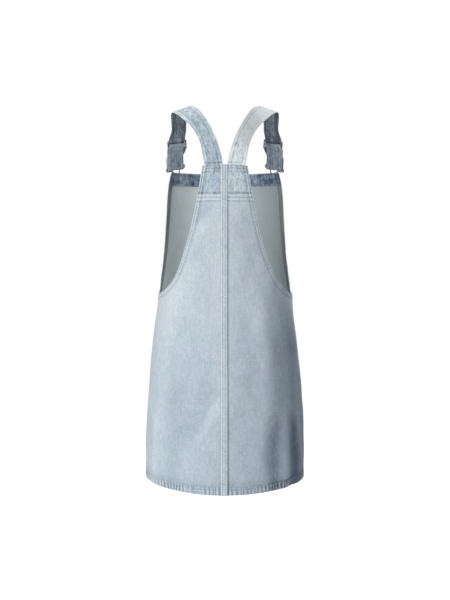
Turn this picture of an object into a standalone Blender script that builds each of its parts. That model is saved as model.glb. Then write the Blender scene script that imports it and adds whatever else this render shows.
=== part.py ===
"""A denim pinafore dress, filled out as if worn, with its straps buckled over the shoulders.

Metres, +Z up. +Y is the way the wearer faces and +X is the wearer's right, so the back is at -Y.
The origin is where the shoulders hold the dress up: midway between the two places where the straps
cross the tops of the shoulders.

The dress is a tube of level sections. Every point of its cloth is found by an angle round the tube,
measured from centre back, a height, and a distance out from the outer face of the cloth.
"""
import math
from collections import namedtuple

import bpy
import bmesh
from mathutils import Matrix, Vector

# --- Cloth and seams -------------------------------------------------------------------------------
CLOTH = 0.0012            # one layer of denim
TURNING = 0.0012          # what a turned-in hem adds on the inside
GAP = 0.0003              # between pieces that touch
STEP = 0.0008             # the slope at a turned hem's edge

# --- Heights ---------------------------------------------------------------------------------------
BIB_TOP = -0.134
YOKE_TOP = -0.1345
YOKE_TOP_DROP = 0.0022    # the yoke's top is this much lower at its ends
YOKE_SEAM = -0.200
ARMHOLE_FOOT = -0.4115
HEM_AT_SIDE = -0.8215
HEM_DROP = 0.0105         # centre back and front hang this much lower than the sides

# --- Widths of bands -------------------------------------------------------------------------------
ARMHOLE_HEM = 0.011
SKIRT_HEM = 0.015
FACING_DEPTH = 0.0295
LAP_LEFT, LAP_RIGHT = -0.0084, 0.0050     # the raised centre seam's two edges
LAP_CLOTH = 0.0010

# --- Spacing of points -----------------------------------------------------------------------------
CHART = 0.140             # an angle times this is about a distance round the tube
PANEL_COLUMNS = 13        # from the middle to the armhole's hem
ROW = 0.0240              # between rows of a panel
YOKE_ROWS, YOKE_COLUMNS = 4, 5
SEAM_COLUMNS = 3
STRAP_STATIONS = 34       # from the tail to just above the slider
BEND = 28                 # degrees, between points where a strap turns round a bar
CORNER_STEPS = 4          # in a rounded corner of wire
SMOOTHING = 16            # points on a smooth curve for each row of its table
ARMHOLE_POINTS = 90       # along an armhole's edge
EDGE_STEP = 0.002         # to each side of a point of an edge, to find the edge's direction
WIRE_SIDES = 8
BUTTON_SIDES = 16
SHARP = 40                # degrees, an edge sharper than this isn't smoothed

# --- The tube: half width at the sides, depth in front of them and behind them --------------------
Section = namedtuple("Section", "height half_width front back")
SECTIONS = [
    Section(-0.106, 0.1470, 0.0950, 0.1020),
    Section(-0.136, 0.1490, 0.1020, 0.1050),      # top of the bib and of the yoke
    Section(-0.196, 0.1505, 0.1130, 0.1100),
    Section(-0.256, 0.1510, 0.1200, 0.1100),      # bust
    Section(-0.320, 0.1506, 0.1175, 0.1085),
    Section(-0.380, 0.1500, 0.1150, 0.1082),      # waist
    Section(-0.430, 0.1514, 0.1145, 0.1100),
    Section(-0.500, 0.1597, 0.1190, 0.1170),
    Section(-0.560, 0.1664, 0.1245, 0.1245),
    Section(-0.630, 0.1725, 0.1300, 0.1310),      # hip
    Section(-0.700, 0.1768, 0.1340, 0.1365),
    Section(-0.760, 0.1788, 0.1370, 0.1400),
    Section(-0.835, 0.1795, 0.1390, 0.1430),      # hem
]

# --- Armhole edges, from the top down to the side seam: distance from the middle, and height -------
EdgePoint = namedtuple("EdgePoint", "half_width height")
BACK_ARMHOLE = [
    EdgePoint(0.0481, -0.1364),
    EdgePoint(0.0589, -0.1992),
    EdgePoint(0.0687, -0.2483),
    EdgePoint(0.0812, -0.2990),
    EdgePoint(0.0956, -0.3416),
    EdgePoint(0.1114, -0.3762),
    EdgePoint(0.1289, -0.3983),
    EdgePoint(0.1400, -0.4062),
    EdgePoint(0.1480, -0.4103),
]
FRONT_ARMHOLE = [
    EdgePoint(0.1240, -0.1340),
    EdgePoint(0.1277, -0.1482),
    EdgePoint(0.1310, -0.1666),
    EdgePoint(0.1337, -0.1941),
    EdgePoint(0.1366, -0.2492),
    EdgePoint(0.1399, -0.3045),
    EdgePoint(0.1446, -0.3596),
    EdgePoint(0.1485, -0.4003),
]

# --- Largest folds: a soft ridge (rise > 0) or trough between two points of the tube ---------------
FOLD_FADE = 1.6           # a fold is at full height but for its two ends, and more of it if this is larger
Fold = namedtuple("Fold", "top_angle top_height foot_angle foot_height width rise")
FOLDS = [
    # back left: drag line from the yoke to the armhole's foot, and the trough above it
    Fold(-8, -0.235, -38, -0.345, 0.016, 0.0022),
    Fold(-12, -0.215, -27, -0.290, 0.012, -0.0014),
    # back left skirt: long slanting trough, and the ridge below it
    Fold(-4, -0.565, -33, -0.740, 0.020, -0.0030),
    Fold(2, -0.640, -20, -0.800, 0.020, 0.0016),
    Fold(-50, -0.640, -53, -0.840, 0.022, 0.0022),
    Fold(-68, -0.560, -70, -0.840, 0.020, -0.0020),
    # back right: the edge where the cloth turns to the side, then a long hollow and a ridge
    Fold(36, -0.370, 47, -0.720, 0.024, 0.0040),
    Fold(58, -0.400, 62, -0.760, 0.022, -0.0036),
    Fold(76, -0.560, 72, -0.790, 0.016, 0.0022),
    # back right: short waves at the hem
    Fold(33, -0.700, 34, -0.850, 0.012, -0.0034),
    Fold(43, -0.690, 43, -0.850, 0.011, 0.0034),
    Fold(53, -0.700, 52, -0.850, 0.011, -0.0036),
    # front: hollow under the bust to each side, long soft waves to the hem
    Fold(140, -0.290, 118, -0.400, 0.018, 0.0020),
    Fold(-142, -0.290, -120, -0.400, 0.018, 0.0022),
    Fold(158, -0.520, 146, -0.840, 0.024, -0.0036),
    Fold(137, -0.560, 130, -0.840, 0.022, 0.0030),
    Fold(-160, -0.540, -157, -0.840, 0.022, 0.0032),
    Fold(-146, -0.500, -140, -0.840, 0.024, -0.0034),
    Fold(-116, -0.560, -112, -0.840, 0.022, 0.0026),
]

# --- Straps ----------------------------------------------------------------------------------------
STRAP_WIDTH = 0.040
STRAP_THICK = 0.0022
STRAP_TAIL = 0.016        # how far a strap reaches down inside the yoke
TAIL_FREE = 0.004         # it follows the yoke's curve until this far above the yoke's top
TAIL_X = 0.0246           # the tail's middle at the yoke's top, from the dress's middle
TAIL_SPREAD = 0.09        # the tail's middle moves out this much for each metre up
# Middle of the strap from the yoke over the shoulder to just above the slider. turn is how far the
# strap's outer edge swings to the back, slope how far it tips down, in degrees.
StrapPoint = namedtuple("StrapPoint", "x y z turn slope")
STRAP_PATH = [
    StrapPoint(0.0264, -0.0994, -0.1200, -11, 6),
    StrapPoint(0.0319, -0.0948, -0.0970, -24, 21),
    StrapPoint(0.0390, -0.0868, -0.0755, -35, 31),
    StrapPoint(0.0495, -0.0752, -0.0530, -40, 39),
    StrapPoint(0.0632, -0.0578, -0.0312, -36, 41),
    StrapPoint(0.0812, -0.0340, -0.0120, -8, 28),
    StrapPoint(0.0980, 0.0000, -0.0004, 2, 20),
    StrapPoint(0.1030, 0.0225, -0.0066, 18, 15),
    StrapPoint(0.1048, 0.0375, -0.0232, 34, 11),
    StrapPoint(0.1054, 0.0450, -0.0400, 36, 9),
]

# --- Buckle: slider and clasp share one plane, hung on the front of the strap ----------------------
SLIDER_CENTRE = Vector((0.1103, 0.0555, -0.0718))
BUCKLE_TURN = 24          # degrees, as for the strap
BUCKLE_LEAN = 15          # degrees, how much its lower end stands forward
BUCKLE_SLOPE = 9
SLIDER_INSIDE = 0.0408    # between its side rails
SLIDER_RAIL = 0.0032      # how wide its side rails are
SLIDER_HEIGHT = 0.0232
SLIDER_BAR = 0.0024       # diameter of its three bars
SLIDER_CORNER = 0.0028    # radius of the bend at its corners
FOLD_DROP = 0.0526        # from the slider's middle bar to the strap's lower fold
FOLD_SHIFT = 0.0076       # the fold lies this much further out than the slider
DRIFT_FROM, DRIFT_TO = 0.012, 0.036       # the strap drifts out between these depths below the slider
LAYERS_MEET = 0.035       # from the slider down to where its two layers run parallel
END_WRAP = 205            # degrees, how far its sewn end goes round the middle bar
ABOVE_SLIDER = 0.0145     # the strap's flat path starts this far above the slider's middle
WIRE = 0.0028             # the clasp's wire
CLASP_TILT = 9            # degrees, inner end of its bar up
CLASP_WIDTH = 0.0452      # between the middles of its two sides
CLASP_SIDE = 0.0112       # from the bar down to its shoulders
CLASP_NECK = 0.0220       # from the bar down to where the shoulders meet the keyhole
CLASP_SHANK_DROP = 0.0368 # from the bar to the button's shank
CLASP_BENDS = (0.0018, 0.0030, 0.0080)    # radius of its bends at the bar, the shoulders and the neck
KEYHOLE_RADIUS = 0.0046
KEYHOLE_BEND = 0.0045     # radius of the bends at its foot, just under its own
BUTTON_HEAD = 0.0155      # diameters of the button's head, shank and foot
BUTTON_SHANK = 0.0056
BUTTON_FOOT = 0.0080
BUTTON_FOOT_HIGH = 0.0008
BUTTON_REACH = 0.0036     # from the clasp's plane back to the button's foot
# The button's head, from its edge to its middle: share of its radius, and height over the wire
BUTTON_DOME = [(0.92, 0.0), (1.0, 0.0007), (0.90, 0.0017), (0.60, 0.0026), (0.15, 0.0030)]

# Light washed denim, its grey wrong side and dull metal
DENIM = ("denim", (0.55, 0.62, 0.70), 0.85, 0.0)
DENIM_INSIDE = ("denim_wrong_side", (0.30, 0.34, 0.37), 0.90, 0.0)
METAL = ("dull_metal", (0.20, 0.20, 0.19), 0.40, 1.0)


# === Curves through tables ========================================================================
def hermite(start, end, leave, arrive, share):
    """A value part of the way from start to end, on a curve with the given slopes there."""
    s2, s3 = share * share, share ** 3
    return ((2 * s3 - 3 * s2 + 1) * start + (s3 - 2 * s2 + share) * leave
            + (3 * s2 - 2 * s3) * end + (s3 - s2) * arrive)


def section_at(height):
    """Half width, front depth and back depth of the tube at a height."""
    height = min(max(height, SECTIONS[-1].height), SECTIONS[0].height)
    last = len(SECTIONS) - 1
    lower = next(i for i in range(1, last + 1) if SECTIONS[i].height <= height)
    start, end = SECTIONS[lower - 1], SECTIONS[lower]
    before, after = SECTIONS[max(lower - 2, 0)], SECTIONS[min(lower + 1, last)]
    span = end.height - start.height
    share = (height - start.height) / span
    sizes = []
    for column in (1, 2, 3):
        leave = (end[column] - before[column]) / (end.height - before.height) * span
        arrive = (after[column] - start[column]) / (after.height - start.height) * span
        sizes.append(hermite(start[column], end[column], leave, arrive, share))
    return sizes


def curve_through(points, count):
    """count points evenly spaced along a smooth curve through a table's rows."""
    points = [Vector(point) for point in points]
    ends = [2 * points[0] - points[1]] + points + [2 * points[-1] - points[-2]]
    fine = []
    for i in range(1, len(points)):
        leave = (ends[i + 1] - ends[i - 1]) / 2
        arrive = (ends[i + 2] - ends[i]) / 2
        fine += [hermite(ends[i], ends[i + 1], leave, arrive, k / SMOOTHING) for k in range(SMOOTHING)]
    fine.append(points[-1])
    return evenly(fine, count)


def evenly(points, count):
    """count points evenly spaced along a line of straight pieces, by its first three axes."""
    reach = [0.0]
    for a, b in zip(points, points[1:]):
        reach.append(reach[-1] + (Vector(b[:3]) - Vector(a[:3])).length)
    out = []
    piece = 0
    for k in range(count):
        want = reach[-1] * k / (count - 1)
        while piece < len(points) - 2 and reach[piece + 1] < want:
            piece += 1
        share = (want - reach[piece]) / (reach[piece + 1] - reach[piece])
        out.append(points[piece].lerp(points[piece + 1], min(share, 1.0)))
    return out


# === The tube =====================================================================================
def fold_rise(angle, height):
    """How far the folds push the cloth out at a point of the tube."""
    rise = 0.0
    for fold in FOLDS:
        top = Vector((math.radians(fold.top_angle) * CHART, fold.top_height))
        foot = Vector((math.radians(fold.foot_angle) * CHART, fold.foot_height))
        line = foot - top
        here = Vector((angle * CHART, height)) - top
        along = here.dot(line) / line.length_squared
        across = abs(here.x * line.y - here.y * line.x) / line.length
        if 0 < along < 1 and across < 2 * fold.width:
            fade = min(1.0, math.sin(math.pi * along) * FOLD_FADE)
            rise += fold.rise * fade * math.cos(math.pi * across / (4 * fold.width)) ** 2
    return rise


def tube_point(angle, height, out=0.0):
    """A point of the cloth: radians round from centre back, height, distance out from its face."""
    half_width, front, back = section_at(height)
    depth = back if math.cos(angle) > 0 else front
    x = half_width * math.sin(angle)
    y = -depth * math.cos(angle)
    normal = Vector((x / half_width ** 2, y / depth ** 2)).normalized()
    out += fold_rise(angle, height)
    return Vector((x + normal.x * out, y + normal.y * out, height))


def angle_at(x, height, front=False):
    """The angle of the tube's point that lies a distance x to the side of the middle."""
    half_width = section_at(height)[0]
    angle = math.asin(max(-1.0, min(1.0, x / half_width)))
    return math.pi - angle if front else angle


def hem_height(angle):
    return HEM_AT_SIDE - HEM_DROP * math.cos(angle) ** 2


def arc_per_angle(angle, height):
    """Metres round the tube for each radian."""
    half_width, front, back = section_at(height)
    depth = back if math.cos(angle) > 0 else front
    return math.hypot(half_width * math.cos(angle), depth * math.sin(angle))


# === Solids =======================================================================================
def material(look):
    name, colour, roughness, metallic = look
    made = bpy.data.materials.get(name)
    if made is None:
        made = bpy.data.materials.new(name)
        made.use_nodes = True
        shader = made.node_tree.nodes["Principled BSDF"]
        shader.inputs["Base Color"].default_value = (*colour, 1.0)
        shader.inputs["Roughness"].default_value = roughness
        shader.inputs["Metallic"].default_value = metallic
        made.diffuse_color = (*colour, 1.0)
    return made


def add_object(name, shape, look):
    mesh = bpy.data.meshes.new(name)
    shape.to_mesh(mesh)
    shape.free()
    mesh.materials.append(material(look))
    mesh.shade_smooth()
    mesh.set_sharp_from_angle(angle=math.radians(SHARP))
    thing = bpy.data.objects.new(name, mesh)
    bpy.context.scene.collection.objects.link(thing)
    return thing


def wall(name, outer, inner, look):
    """A closed wall between two grids of points, which are rows of equal length."""
    shape = bmesh.new()
    faces = [[shape.verts.new(point) for point in row] for row in outer]
    backs = [[shape.verts.new(point) for point in row] for row in inner]
    rows, columns = len(outer), len(outer[0])
    for i in range(rows - 1):
        for j in range(columns - 1):
            shape.faces.new((faces[i][j], faces[i + 1][j], faces[i + 1][j + 1], faces[i][j + 1]))
            shape.faces.new((backs[i][j], backs[i][j + 1], backs[i + 1][j + 1], backs[i + 1][j]))
    rim = ([(i, 0) for i in range(rows)] + [(rows - 1, j) for j in range(1, columns)]
           + [(i, columns - 1) for i in range(rows - 2, -1, -1)] + [(0, j) for j in range(columns - 2, 0, -1)])
    for (i, j), (k, m) in zip(rim, rim[1:] + rim[:1]):
        shape.faces.new((faces[k][m], faces[i][j], backs[i][j], backs[k][m]))
    bmesh.ops.recalc_face_normals(shape, faces=shape.faces)
    return add_object(name, shape, look)


def loft(name, rings, look, closed=False):
    """A closed solid through rings of points, with flat ends or joined end to end."""
    shape = bmesh.new()
    loops = [[shape.verts.new(point) for point in ring] for ring in rings]
    following = loops[1:] + loops[:1] if closed else loops[1:]
    for one, other in zip(loops, following):
        for k in range(len(one)):
            m = (k + 1) % len(one)
            shape.faces.new((one[k], one[m], other[m], other[k]))
    if not closed:
        shape.faces.new(loops[0])
        shape.faces.new(loops[-1])
    bmesh.ops.recalc_face_normals(shape, faces=shape.faces)
    return add_object(name, shape, look)


# === Panels =======================================================================================
class Line:
    """A run of (angle, height) points that can be read at any distance along it."""

    def __init__(self, points):
        self.points = [Vector(point) for point in points]
        self.reach = [0.0]
        for a, b in zip(self.points, self.points[1:]):
            step = tube_point(*b) - tube_point(*a)
            self.reach.append(self.reach[-1] + step.length)
        self.length = self.reach[-1]

    def at(self, distance):
        distance = min(max(distance, 0.0), self.length)
        last = len(self.points) - 2
        piece = next((i for i in range(last + 1) if self.reach[i + 1] >= distance), last)
        share = (distance - self.reach[piece]) / (self.reach[piece + 1] - self.reach[piece])
        return self.points[piece].lerp(self.points[piece + 1], share)

    def distance_to(self, height):
        """How far along the line its points come down to a height."""
        for piece, (a, b) in enumerate(zip(self.points, self.points[1:])):
            if b[1] <= height:
                share = max(0.0, (a[1] - height) / (a[1] - b[1]))
                return self.reach[piece] + (self.reach[piece + 1] - self.reach[piece]) * share
        return self.length


def armhole(table, front, top):
    """An armhole's edge from a height down to the side seam."""
    side = math.pi / 2 + (1 if front else -1) * GAP / 2 / section_at(ARMHOLE_FOOT)[1]
    points = [(angle_at(row.half_width, row.height, front) * CHART, row.height) for row in table]
    fine = curve_through(points + [(side * CHART, ARMHOLE_FOOT)], ARMHOLE_POINTS)
    line = [(point[0] / CHART, point[1]) for point in fine]
    above = [point for point in line if point[1] > top]
    below = [point for point in line if point[1] <= top]
    if above:
        share = (above[-1][1] - top) / (above[-1][1] - below[0][1])
        first = above[-1][0] + (below[0][0] - above[-1][0]) * share
        below.insert(0, (first, top))
    return Line(below), side


def inset(line, distance, side, corner, amount, level):
    """A point a little way in from a panel's edge: the armhole down to the corner, then the side seam.

    level keeps the point at the edge's height, as on a straight top edge.
    """
    point = (line if distance <= corner else side).at(distance if distance <= corner else distance - corner)
    if amount == 0:
        return point
    turn = arc_per_angle(*point)
    inward = -1 if line.points[0][0] < math.pi / 2 else 1
    if level or distance >= corner:
        drop = amount if distance == corner else 0.0
        return Vector((point[0] + inward * amount / turn, point[1] - drop))
    before, after = line.at(distance - EDGE_STEP), line.at(distance + EDGE_STEP)
    along = Vector(((after[0] - before[0]) * turn, after[1] - before[1])).normalized()
    return Vector((point[0] + inward * amount * abs(along[1]) / turn, point[1] - amount * abs(along[0])))


def spread(start, end, spacing):
    """Evenly spaced values from start to end, both included."""
    count = max(1, round(abs(end - start) / spacing))
    return [start + (end - start) * k / count for k in range(count + 1)]


class Panel:
    """Half a panel as rows of (angle, height) points from a middle line out to its edge.

    top_rows are depths below the top edge at which the panel has level rows.
    """

    def __init__(self, table, front, top, middle_angle, top_rows):
        self.edge, side_angle = armhole(table, front, top)
        self.corner = self.edge.length
        self.level_rows = len(top_rows)
        foot = hem_height(side_angle)
        self.side = Line([(side_angle, ARMHOLE_FOOT), (side_angle, foot)])
        middle_foot = hem_height(middle_angle)
        self.middle = Line([(middle_angle, top), (middle_angle, middle_foot)])
        end = self.corner + self.side.length
        middle_corner = self.corner * self.middle.length / end
        hem_rows = [SKIRT_HEM + STEP, SKIRT_HEM, 0.0]
        first = self.edge.distance_to(top - top_rows[-1])
        edge_rows = spread(first, self.corner, ROW)[1:]
        edge_rows += spread(self.corner, end - hem_rows[0], ROW)[1:] + [end - up for up in hem_rows[1:]]
        self.rows = [(self.edge.distance_to(top - drop), drop) for drop in top_rows]
        for down in edge_rows:
            if down <= self.corner:
                share = (down - first) / (self.corner - first)
                middle = top_rows[-1] + (middle_corner - top_rows[-1]) * share
            elif down < end - hem_rows[0]:
                share = (down - self.corner) / (end - hem_rows[0] - self.corner)
                middle = middle_corner + (self.middle.length - hem_rows[0] - middle_corner) * share
            else:
                middle = self.middle.length - (end - down)
            self.rows.append((down, middle))
        self.facing_rows = len(top_rows) - 1
        self.hem_from = len(self.rows) - 2

    def row(self, down, middle, level=False):
        """The points of one row, from the middle out, and whether each lies in the armhole's hem."""
        start = self.middle.at(middle)
        edge = [inset(self.edge, down, self.side, self.corner, amount, level)
                for amount in (ARMHOLE_HEM + STEP, ARMHOLE_HEM, 0.0)]
        points = [(start.lerp(edge[0], k / PANEL_COLUMNS), False) for k in range(PANEL_COLUMNS + 1)]
        return points + [(edge[1], True), (edge[2], True)]

    def grids(self, side):
        """The cloth's outer and inner faces, on the right (side 1) or the left (side -1)."""
        outer, inner = [], []
        for index, (down, middle) in enumerate(self.rows):
            in_hem = index >= self.hem_from
            in_armhole_rows = self.facing_rows <= index and down <= self.corner
            out_row, in_row = [], []
            for (angle, height), at_edge in self.row(down, middle, index < self.level_rows):
                if index == len(self.rows) - 1:
                    height = hem_height(angle)
                thick = CLOTH + (TURNING if in_hem or (at_edge and in_armhole_rows) else 0.0)
                out_row.append(tube_point(side * angle, height))
                in_row.append(tube_point(side * angle, height, -thick))
            outer.append(out_row)
            inner.append(in_row)
        return outer, inner


def across(left, right):
    """Rows that run right across the dress, from two halves that share their middle points."""
    return [list(reversed(one[1:])) + other for one, other in zip(left, right)]


def back_panels():
    """The two lower back panels: centre back, yoke seam, armhole, side and hem."""
    middle = GAP / 2 / section_at(YOKE_SEAM)[0]
    panel = Panel(BACK_ARMHOLE, False, YOKE_SEAM - GAP / 2, middle, [0.0])
    for name, side in (("back_panel_right", 1), ("back_panel_left", -1)):
        wall(name, *panel.grids(side), DENIM)
    return panel


def front_panel():
    """Bib and skirt front in one, and the facing turned down inside the bib's top."""
    top_rows = [0.0, FACING_DEPTH / 2, FACING_DEPTH, FACING_DEPTH + STEP]
    panel = Panel(FRONT_ARMHOLE, True, BIB_TOP, math.pi, top_rows)
    halves = [panel.grids(side) for side in (-1, 1)]
    outer = across(halves[0][0], halves[1][0])
    inner = across(halves[0][1], halves[1][1])
    wall("front_panel", outer, inner, DENIM)

    faces = []
    for depth in (CLOTH + GAP, CLOTH + GAP + CLOTH):
        grid = []
        for down in (0.0, FACING_DEPTH / 2, FACING_DEPTH - GAP):
            edge = panel.edge.distance_to(BIB_TOP - down)
            points = [point for point, in_hem in panel.row(edge, down, True)]
            left = [tube_point(-angle, height, -depth) for angle, height in points]
            right = [tube_point(angle, height, -depth) for angle, height in points]
            grid.append(list(reversed(left[1:])) + right)
        faces.append(grid)
    wall("bib_facing", *faces, DENIM_INSIDE)


def yoke_top(angle):
    """The yoke's top edge, which is a little lower towards its ends."""
    end = angle_at(BACK_ARMHOLE[0].half_width, BACK_ARMHOLE[0].height)
    return YOKE_TOP - YOKE_TOP_DROP * (abs(angle) / end) ** 2


def yokes():
    """The short back yoke, left and right of the centre seam."""
    edge, side_angle = armhole(BACK_ARMHOLE, False, BACK_ARMHOLE[0].height + GAP)
    seam = YOKE_SEAM + GAP / 2
    first = GAP / 2 / section_at(seam)[0]
    end_top = yoke_top(edge.points[0][0])
    for name, side in (("back_yoke_right", 1), ("back_yoke_left", -1)):
        outer, inner = [], []
        for i in range(YOKE_ROWS + 1):
            out_row, in_row = [], []
            last = edge_angle(edge, end_top + (seam - end_top) * i / YOKE_ROWS)
            for k in range(YOKE_COLUMNS + 1):
                angle = first + (last - first) * k / YOKE_COLUMNS
                top = yoke_top(angle)
                height = top + (seam - top) * i / YOKE_ROWS
                out_row.append(tube_point(side * angle, height))
                in_row.append(tube_point(side * angle, height, -CLOTH))
            outer.append(out_row)
            inner.append(in_row)
        wall(name, outer, inner, DENIM)


def edge_angle(edge, height):
    """The angle of an armhole's edge at a height."""
    for a, b in zip(edge.points, edge.points[1:]):
        if b[1] <= height:
            share = (a[1] - height) / (a[1] - b[1])
            return a[0] + (b[0] - a[0]) * max(share, 0.0)
    return edge.points[-1][0]


def centre_seam(panel):
    """The raised lap over the centre back seam, from the yoke's top to the hem."""
    heights = spread(YOKE_TOP, YOKE_SEAM, ROW / 2)
    heights += [panel.middle.at(middle)[1] for down, middle in panel.rows[1:]]
    faces = []
    for out in (GAP, GAP + LAP_CLOTH):
        grid = []
        for index, height in enumerate(heights):
            row = []
            for x in spread(LAP_LEFT, LAP_RIGHT, (LAP_RIGHT - LAP_LEFT) / SEAM_COLUMNS):
                angle = angle_at(x, height)
                if index == 0:
                    height = yoke_top(angle)
                if index == len(heights) - 1:
                    height = hem_height(angle)
                row.append(tube_point(angle, height, out))
            grid.append(row)
        faces.append(grid)
    wall("centre_back_seam", faces[1], faces[0], DENIM)


# === Straps and buckles ===========================================================================
def buckle_axes():
    """The buckle plane's axes: outward along its bars, up along the strap, and out from the chest."""
    outward = width_direction(BUCKLE_TURN, BUCKLE_SLOPE)
    up = Vector((0, -math.sin(math.radians(BUCKLE_LEAN)), math.cos(math.radians(BUCKLE_LEAN))))
    up = (up - outward * up.dot(outward)).normalized()
    return outward, up, up.cross(outward)


def width_direction(turn, slope):
    """Across a strap, from the neck to the shoulder's outer side."""
    turn, slope = math.radians(turn), math.radians(slope)
    return Vector((math.cos(turn) * math.cos(slope), -math.sin(turn) * math.cos(slope), -math.sin(slope)))


def belt(stops):
    """A line of straight pieces and arcs that passes round circles.

    Each stop is (height, out, radius, side): the line runs down and passes on the circle's outer side (1)
    or inner side (-1). A radius of 0 is a plain point.
    """
    centres = [Vector(stop[:2]) for stop in stops]
    reach = [stop[2] * stop[3] for stop in stops]
    normals = []
    for (a, b), (r, q) in zip(zip(centres, centres[1:]), zip(reach, reach[1:])):
        gap = b - a
        turn = math.acos((r - q) / gap.length)
        choices = [Matrix.Rotation(way * turn, 2) @ gap.normalized() for way in (1, -1)]
        normals.append(max(choices, key=lambda normal: normal.y))
    points = []
    for index, (centre, r) in enumerate(zip(centres, reach)):
        first = normals[max(index - 1, 0)]
        last = normals[min(index, len(normals) - 1)]
        if r == 0:
            points.append(centre)
            continue
        sweep = last.angle_signed(first)
        count = max(1, math.ceil(abs(sweep) / math.radians(BEND)))
        for k in range(count + 1):
            points.append(centre + r * (Matrix.Rotation(sweep * k / count, 2) @ first))
    return points


def strap_tail(height):
    """The middle of a strap's tail, inside the yoke, as a row of the strap's path."""
    x = TAIL_X + TAIL_SPREAD * (height - YOKE_TOP)
    point = tube_point(angle_at(x, height), height, -CLOTH - GAP - STRAP_THICK / 2)
    return StrapPoint(point.x, point.y, point.z, STRAP_PATH[0].turn, 0)


def buckle_point(height, out, aside):
    """A point of the buckle's plane, measured from the slider's middle."""
    across, up, front = buckle_axes()
    return SLIDER_CENTRE + across * aside + up * height + front * out


def fold_shift(height):
    """How far out the strap has drifted at a height below the slider."""
    share = min(max((-height - DRIFT_FROM) / (DRIFT_TO - DRIFT_FROM), 0.0), 1.0)
    return FOLD_SHIFT * share * share * (3 - 2 * share)


def strap_stations():
    """Points along the middle of the right strap, each with the direction across it."""
    rise = (SLIDER_HEIGHT - SLIDER_BAR) / 2
    round_bar = SLIDER_BAR / 2 + GAP + STRAP_THICK / 2
    round_loop = round_bar + GAP + STRAP_THICK
    round_wire = WIRE / 2 + 1.5 * GAP + STRAP_THICK / 2
    across = buckle_axes()[0]
    fold = -FOLD_DROP
    running = belt([(ABOVE_SLIDER, -STRAP_THICK / 2, 0, 1), (rise, 0, round_bar, -1), (0, 0, round_loop, 1),
                    (-rise, 0, round_bar, -1), (-LAYERS_MEET, round_wire, 0, 1), (fold, 0, round_wire, 1)])
    returning = belt([(0, 0, round_bar, -1), (-rise, 0, round_loop, -1), (-LAYERS_MEET, -round_wire, 0, 1),
                      (fold, 0, round_wire, -1)])
    turns = [Vector((fold - round_wire * math.sin(a), round_wire * math.cos(a)))
             for a in spread(math.radians(30), math.radians(150), math.radians(30))]
    start = math.atan2(returning[0][0], -returning[0][1])
    sewn = [Vector((math.sin(a), -math.cos(a))) * round_bar
            for a in spread(start, math.radians(END_WRAP), math.radians(BEND))[1:]]
    line = running + turns + list(reversed(returning)) + sewn

    top = buckle_point(line[0][0], line[0][1], 0.0)
    path = [strap_tail(height) for height in (YOKE_TOP - STRAP_TAIL, YOKE_TOP - STRAP_TAIL / 2, YOKE_TOP)]
    path += STRAP_PATH + [StrapPoint(*top, BUCKLE_TURN, BUCKLE_SLOPE)]
    stations = [(Vector(row[:3]), width_direction(row[3], row[4])) for row in curve_through(path, STRAP_STATIONS)]
    stations += [(buckle_point(height, out, fold_shift(height)), across) for height, out in line[1:]]
    return stations


def strap(name, side):
    """One strap: its tail in the yoke, over the shoulder, round the clasp's bar and up to the slider."""
    stations = strap_stations()
    rings = []
    for index, (centre, across) in enumerate(stations):
        before = stations[max(index - 1, 0)][0]
        after = stations[min(index + 1, len(stations) - 1)][0]
        inward = (after - before).cross(across).normalized()
        near, far = [], []
        for share in (-1, 0, 1):
            point = centre + across * (share * STRAP_WIDTH / 2)
            if centre.z < YOKE_TOP + TAIL_FREE:
                angle = angle_at(point.x, centre.z)
                near.append(tube_point(angle, centre.z, -CLOTH - GAP))
                far.append(tube_point(angle, centre.z, -CLOTH - GAP - STRAP_THICK))
            else:
                near.append(point - inward * STRAP_THICK / 2)
                far.append(point + inward * STRAP_THICK / 2)
        rings.append([Vector((side * p.x, p.y, p.z)) for p in near + far[::-1]])
    loft(name, rings, DENIM)


def rounded(corners):
    """A closed outline through corners, each (across, up, radius), with arcs for its corners."""
    outline = []
    for index, (x, y, radius) in enumerate(corners):
        here = Vector((x, y))
        before = Vector(corners[index - 1][:2]) - here
        after = Vector(corners[(index + 1) % len(corners)][:2]) - here
        half = before.angle(after) / 2
        back = radius / math.tan(half)
        start, end = here + before.normalized() * back, here + after.normalized() * back
        centre = here + (before.normalized() + after.normalized()).normalized() * radius / math.sin(half)
        sweep = (start - centre).angle_signed(end - centre)
        for k in range(CORNER_STEPS + 1):
            outline.append(centre + Matrix.Rotation(-sweep * k / CORNER_STEPS, 2) @ (start - centre))
    return outline


def bent_wire(outline, place, radius, thick, front):
    """Rings round a closed outline in a buckle's plane. radius(point) is the wire's size in that plane."""
    rings = []
    count = len(outline)
    for index, point in enumerate(outline):
        along = (outline[(index + 1) % count] - outline[index - 1]).normalized()
        beside = Vector((along.y, -along.x))
        size = radius(point)
        ring = []
        for k in range(WIRE_SIDES):
            a = 2 * math.pi * (k + 0.5) / WIRE_SIDES
            ring.append(place(point + beside * size * math.cos(a)) + front * thick * math.sin(a))
        rings.append(ring)
    return rings


def flip(points, side):
    return [Vector((side * point.x, point.y, point.z)) for point in points]


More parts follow.
